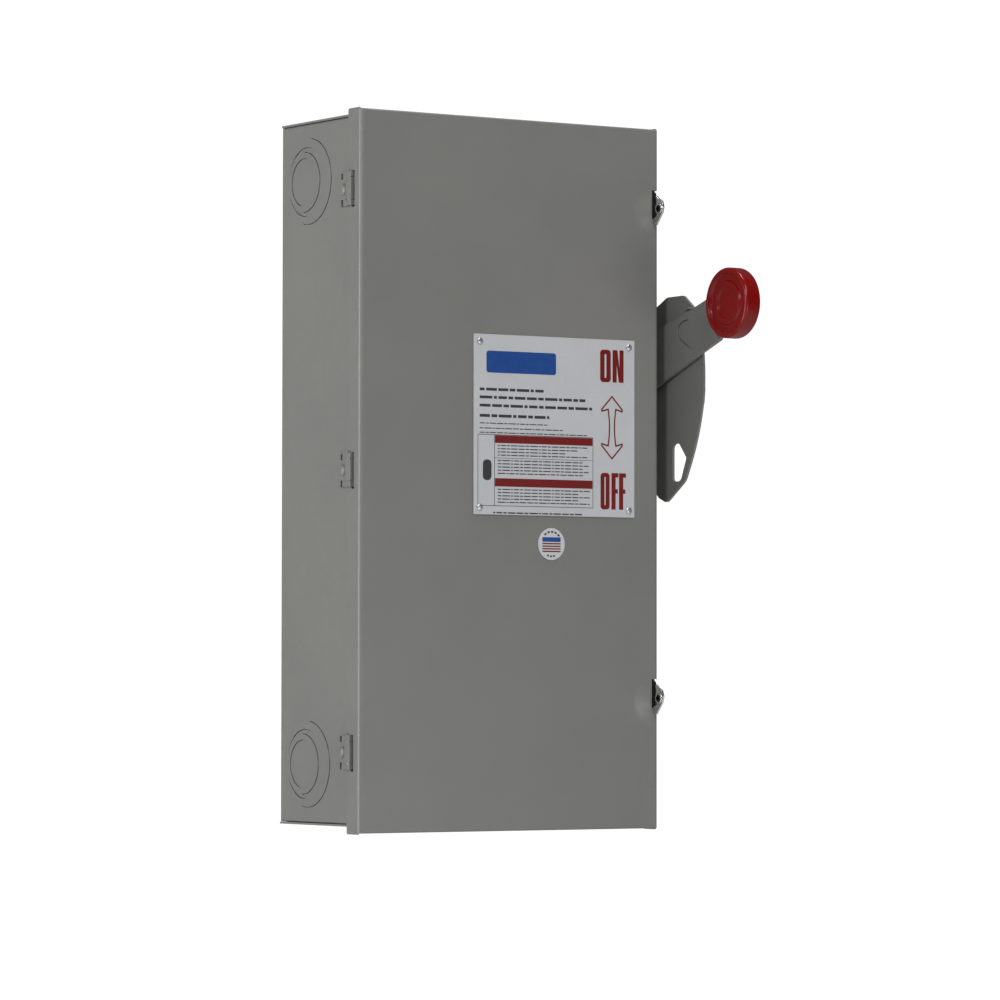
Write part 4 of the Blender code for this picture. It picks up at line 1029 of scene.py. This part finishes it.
def label_print(corner, face):
    """Plain blocks and lines where the real plate has wording, and the two switch positions with an arrow."""
    def area(left, top, right, bottom, radius=0.0):
        (left, top), (right, bottom) = stroke([(left, top), (right, bottom)])
        return rectangle(left, bottom, right, top, radius / 1000)

    def stroke(points):
        return [Vector((corner.x + x / 1000, corner.y - y / 1000)) for x, y in points]

    print_on("print_blue", [[area(11, 12, 72, 28, 2.0)]], INK_BLUE, face)
    red = [[area(18.5, 73.6, 104.4, 79.2)], [area(18.5, 104.9, 104.4, 110.9)]]
    red += position_marks(stroke)
    red.append([arrow(stroke, 0.0), arrow(stroke, 1.15)])
    print_on("print_red", red, INK_RED, face)
    black = []
    lines = [(39.2, 5.2, 63, 2.0), (45.0, 5.2, 98, 2.0), (51.0, 5.2, 104, 2.0), (58.4, 5.2, 66, 2.1)]
    lines += [(64.6, 5.2, 66, 0.7), (68.2, 5.2, 80, 0.7), (71.4, 5.2, 100, 0.7), (129.6, 17, 95, 1.0)]
    lines += [(80.6 + step * 2.35, 21, 100 - 9 * (step % 3), 0.75) for step in range(4)]
    lines += [(91.6 + step * 2.35, 21, 96 + 5 * (step % 2), 0.75) for step in range(5)]
    lines += [(112.6 + step * 2.35, 21, 102 - 8 * (step % 2), 0.75) for step in range(5)]
    for line in lines:
        black += text_line(area, *line)
    black.append([area(3.5, 73.0, 105.0, 125.2), area(3.9, 73.4, 104.6, 124.8)])
    black += [[area(17.9, 73.4, 18.3, 124.8)], [area(18.3, 90.0, 104.6, 90.3)]]
    black.append([area(8.0, 91.5, 15.5, 106.5, 3.0)])
    print_on("print_black", black, INK_BLACK, face)


def text_line(area, top, left, right, height):
    """A line of print as plain dashes, whose lengths repeat in a fixed order."""
    lengths = (7.5, 4.2, 9.5, 2.4, 6.4, 3.6, 8.2)
    gap = 0.6 + height * 0.35
    dashes, x, turn = [], left, int(top * 3) % len(lengths)
    while x < right - 1.5:
        length = min(lengths[turn % len(lengths)] * (0.45 + 0.35 * height), right - x)
        dashes.append([area(x, top, x + length, top + height)])
        x += length + gap
        turn += 1
    return dashes


def arrow(stroke, inset):
    """A double arrow with a waisted shaft. The inset one is the hole in its outline."""
    top = [(0.0, -23.8), (9.7, -13.7), (9.7, -11.3), (3.9, -12.8), (3.0, -6.0)]
    right = top + [(2.8, 0.0)] + [(x, -y) for x, y in reversed(top)]
    whole = right + [(-x, y) for x, y in reversed(right[1:-1])]
    return stroke([(121.8 + x, 65.2 + y) for x, y in shrunk(whole, inset)])


def shrunk(points, inset):
    """A closed outline with each side moved inwards."""
    if inset == 0:
        return points
    places = [Vector(point) for point in points]
    count = len(places)
    moved = []
    for index, corner in enumerate(places):
        before = (corner - places[index - 1]).normalized()
        after = (places[(index + 1) % count] - corner).normalized()
        normals = Vector((-before.y, before.x)), Vector((-after.y, after.x))
        across = (normals[0] + normals[1]).normalized()
        moved.append(corner + across * inset / across.dot(normals[0]))
    return [tuple(place) for place in moved]


def position_marks(stroke):
    """The words ON and OFF in plain block capitals."""
    letters = (("O", 111.2, 7.6, 9.5, 24.0, 3.9), ("N", 122.3, 7.6, 9.9, 24.0, 4.1))
    letters += tuple((letter, x, 98.8, width, 27.0, weight) for letter, x, width, weight in (
        ("O", 111.6, 8.1, 3.5), ("F", 121.4, 6.2, 3.7), ("F", 128.2, 6.2, 3.7)
    ))
    marks = []
    for letter in letters:
        marks += block_letter(stroke, *letter)
    return marks


def block_letter(stroke, letter, x, top, width, height, weight):
    right, bottom = x + width, top + height
    if letter == "O":
        corners = ((x, top), (right, top), (right, bottom), (x, bottom))
        outer = rounded([(*corner, 2.6) for corner in corners], steps=6)
        low, high = (x + weight, top + weight * 0.8), (right - weight, bottom - weight * 0.8)
        corners = (low, (high[0], low[1]), high, (low[0], high[1]))
        inner = rounded([(*corner, 0.8) for corner in corners], steps=4)
        return [[stroke(outer), stroke(inner)]]
    if letter == "N":
        points = [(x, top), (x + weight * 1.05, top), (right - weight * 0.9, bottom - weight * 2.6)]
        points += [(right - weight * 0.9, top), (right, top), (right, bottom)]
        points.append((right - weight * 1.05, bottom))
        points += [(x + weight * 0.9, top + weight * 2.6), (x + weight * 0.9, bottom), (x, bottom)]
        return [[stroke(points)]]
    centre = top + height * 0.5
    arm, stem, short = weight * 0.85, x + weight, right - weight * 0.15
    upper, lower = centre - arm / 2, centre + arm / 2
    points = [(x, top), (right, top), (right, top + arm), (stem, top + arm), (stem, upper)]
    points += [(short, upper), (short, lower), (stem, lower), (stem, bottom), (x, bottom)]
    return [[stroke(points)]]


def cover_sticker():
    low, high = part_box("cover_sticker")
    centre = (low + high) / 2
    edge = circle((high.x - low.x) / 2, centre.x, centre.z, 96)
    disc = new_object("round_sticker", plate([edge], high.y - low.y, FACING, (0, centre.y, 0)))
    soften(disc, 0.00008)
    finish_piece(disc, STICKER, "cover", "label", ["cover_sticker"])
    face = low.y
    middle_point = (centre.x, centre.z)
    band = rectangle(centre.x - 0.008, centre.z + 0.0016, centre.x + 0.008, centre.z + 0.005)
    print_on("sticker_blue", [[band]], INK_BLUE, face)
    red = []
    for step in range(4):
        top = centre.z + 0.0008 - step * 0.0019
        red.append([rectangle(centre.x - 0.008, top - 0.001, centre.x + 0.008, top)])
    print_on("sticker_red", red, INK_RED, face)
    arcs = [(start, 13) for start in (40, 60, 80, 100, 120)] + [(start, 10) for start in (245, 262, 279)]
    black = [[sector(0.0083, 0.0097, middle_point, start, sweep, 8)] for start, sweep in arcs]
    print_on("sticker_black", black, INK_BLACK, face)


# Mechanism: the model's own shapes with their sharp edges rounded


def refined(node, width, material, body, slot):
    """A copy of a CAD node with its flat faces whole and its edges rounded."""
    piece = new_object(f"{node}_finished", whole_faces(frame["nodes"][node].data, 0.5))
    soften(piece, width, angle=45.0)
    finish_piece(piece, material, body, slot, [node], sharp=40.0)


def mechanism():
    for pole in POLES:
        refined(f"blade_{pole}", 0.0004, COPPER, "blades", "copper")
        for kind in ("line", "load"):
            refined(f"{kind}_jaw_{pole}", 0.0003, COPPER, "enclosure", "copper")
            refined(f"{kind}_lug_{pole}", 0.0006, ALUMINIUM, "enclosure", "lug")
    refined("crossbar", 0.001, BLACK, "blades", "black_moulding")
    refined("line_base", 0.0008, BLACK, "enclosure", "black_moulding")
    refined("load_base", 0.0008, BLACK, "enclosure", "black_moulding")
    refined("line_shield", 0.0004, CLEAR, "enclosure", "clear_sheet")
    refined("ground_bar", 0.0006, ALUMINIUM, "enclosure", "lug")
    refined("mechanism_plate", 0.0003, PLATING, "enclosure", "plating")
    refined("drive_crank", 0.0004, PLATING, "handle", "plating")
    refined("crank_pin", 0.0003, PLATING, "handle", "plating")
    refined("drive_link", 0.0004, PLATING, "link", "plating")
    refined("interlock_lever", 0.0003, PLATING, "interlock", "plating")
    refined("interlock_catch", 0.0003, PLATING, "cover", "plating")
    operating_spring()


def operating_spring():
    low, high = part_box("operating_spring")
    wire = 0.001
    turns, per_turn = 4, 40
    radius = (high.z - low.z) / 2 - wire
    start, end = low.x + wire, high.x - wire
    curve = bpy.data.curves.new("torsion_spring", "CURVE")
    curve.dimensions = "3D"
    curve.bevel_depth = wire
    curve.bevel_resolution = 4
    curve.use_fill_caps = True
    count = turns * per_turn
    spline = curve.splines.new("POLY")
    spline.points.add(count)
    for index, point in enumerate(spline.points):
        angle = 2 * math.pi * index / per_turn
        x = start + (end - start) * index / count
        point.co = (x, PIVOT.y + radius * math.cos(angle), PIVOT.z + radius * math.sin(angle), 1.0)
    coil = linked("torsion_spring", curve)
    wound = bpy.data.meshes.new_from_object(coil.evaluated_get(bpy.context.evaluated_depsgraph_get()))
    bpy.data.objects.remove(coil)
    spring = linked("torsion_spring", wound)
    finish_piece(spring, STEEL, "enclosure", "spring_steel", ["operating_spring"], weighted=False)


# Studio

CAMERA_YAW = math.radians(33.145)
CAMERA_PITCH = math.radians(2.063)
CAMERA_ROLL = math.radians(0.08)
CAMERA_DISTANCE = 3.6427
CAMERA_LENS = 179.09
AIM_OFFSET = Vector((-0.0118, 0.0085, -0.0187))
FLOOR_BELOW = 0.42
WORLD_LIGHT = 0.07
WORLD_REFLECTED = 0.12
WORLD_SEEN = 1.05


def add_camera():
    low, high = (Vector(corner) for corner in CAD_BOX)
    aim = (low + high) / 2 + AIM_OFFSET
    level = math.cos(CAMERA_PITCH)
    forward = Vector((math.sin(CAMERA_YAW) * level, math.cos(CAMERA_YAW) * level, math.sin(CAMERA_PITCH)))
    camera_data = bpy.data.cameras.new("camera")
    camera_data.lens = CAMERA_LENS
    camera_data.clip_end = 100.0
    camera = linked("camera", camera_data)
    camera.location = aim - forward * CAMERA_DISTANCE
    camera.rotation_mode = "QUATERNION"
    camera.rotation_quaternion = forward.to_track_quat("-Z", "Y") @ Quaternion((0, 0, 1), CAMERA_ROLL)
    bpy.context.scene.camera = camera


def area_light(name, place, aim, width, height, power):
    data = bpy.data.lights.new(name, "AREA")
    data.shape = "RECTANGLE"
    data.size = width
    data.size_y = height
    data.energy = power
    light = linked(name, data)
    light.location = place
    light.rotation_mode = "QUATERNION"
    light.rotation_quaternion = (Vector(aim) - Vector(place)).to_track_quat("-Z", "Y")


def studio():
    area_light("side", (-3.1, 0.9, 0.1), (0, -0.1, -0.05), 1.0, 2.0, 61.0)
    area_light("key", (-2.26, -1.8, 1.4), (0, -0.1, 0.0), 0.45, 0.45, 26.0)
    area_light("top_front", (-0.3, -2.0, 1.8), (0, -0.1, 0), 1.3, 0.8, 19.0)
    area_light("low_front", (0.45, -2.0, -0.4), (0.1, -0.1, -0.28), 0.9, 0.4, 5.3)
    area_light("overhead", (0.45, -0.35, 2.3), (0.1, -0.1, 0), 0.8, 0.8, 24.0)
    world = bpy.data.worlds.new("studio")
    bpy.context.scene.world = world
    world.use_nodes = True
    tree = world.node_tree
    tree.nodes.clear()
    output = new_node(tree, "OutputWorld")
    path = new_node(tree, "LightPath")
    shades = []
    for strength in (WORLD_LIGHT, WORLD_REFLECTED, WORLD_SEEN):
        shade = new_node(tree, "Background", Color=(1.0, 1.0, 1.0, 1.0), Strength=strength)
        shades.append(shade.outputs["Background"])
    lit = shades[0]
    for ray, shade in (("Is Glossy Ray", shades[1]), ("Is Camera Ray", shades[2])):
        mix = new_node(tree, "MixShader")
        tree.links.new(path.outputs[ray], mix.inputs["Fac"])
        tree.links.new(lit, mix.inputs[1])
        tree.links.new(shade, mix.inputs[2])
        lit = mix.outputs["Shader"]
    tree.links.new(lit, output.inputs["Surface"])
    bpy.context.scene.view_settings.view_transform = "Standard"
    floor_shape = bmesh.new()
    bmesh.ops.create_circle(floor_shape, cap_ends=True, segments=96, radius=2.6)
    floor_shape.transform(Matrix.Translation((0, 0, CAD_BOX[0][2] - FLOOR_BELOW)))
    floor = new_object("floor", floor_shape)
    pale = new_material("pale_floor", (0.85, 0.85, 0.85), 0.8)
    vary_colour(pale, 3.0, [(0.3, (0.84, 0.84, 0.84)), (0.7, (0.87, 0.87, 0.87))])
    floor.data.materials.append(pale)


def main():
    add_camera()
    enclosure_body()
    end_wall("top_end_wall", BOX_TOP, 1)
    end_wall("bottom_end_wall", BOX_BOTTOM, -1)
    cover_pan()
    hinges()
    for name in LATCHES:
        latch(name)
    handle_base()
    handle_arm()
    handle_knob()
    shaft_pieces()
    nameplate()
    cover_sticker()
    mechanism()
    studio()


main()
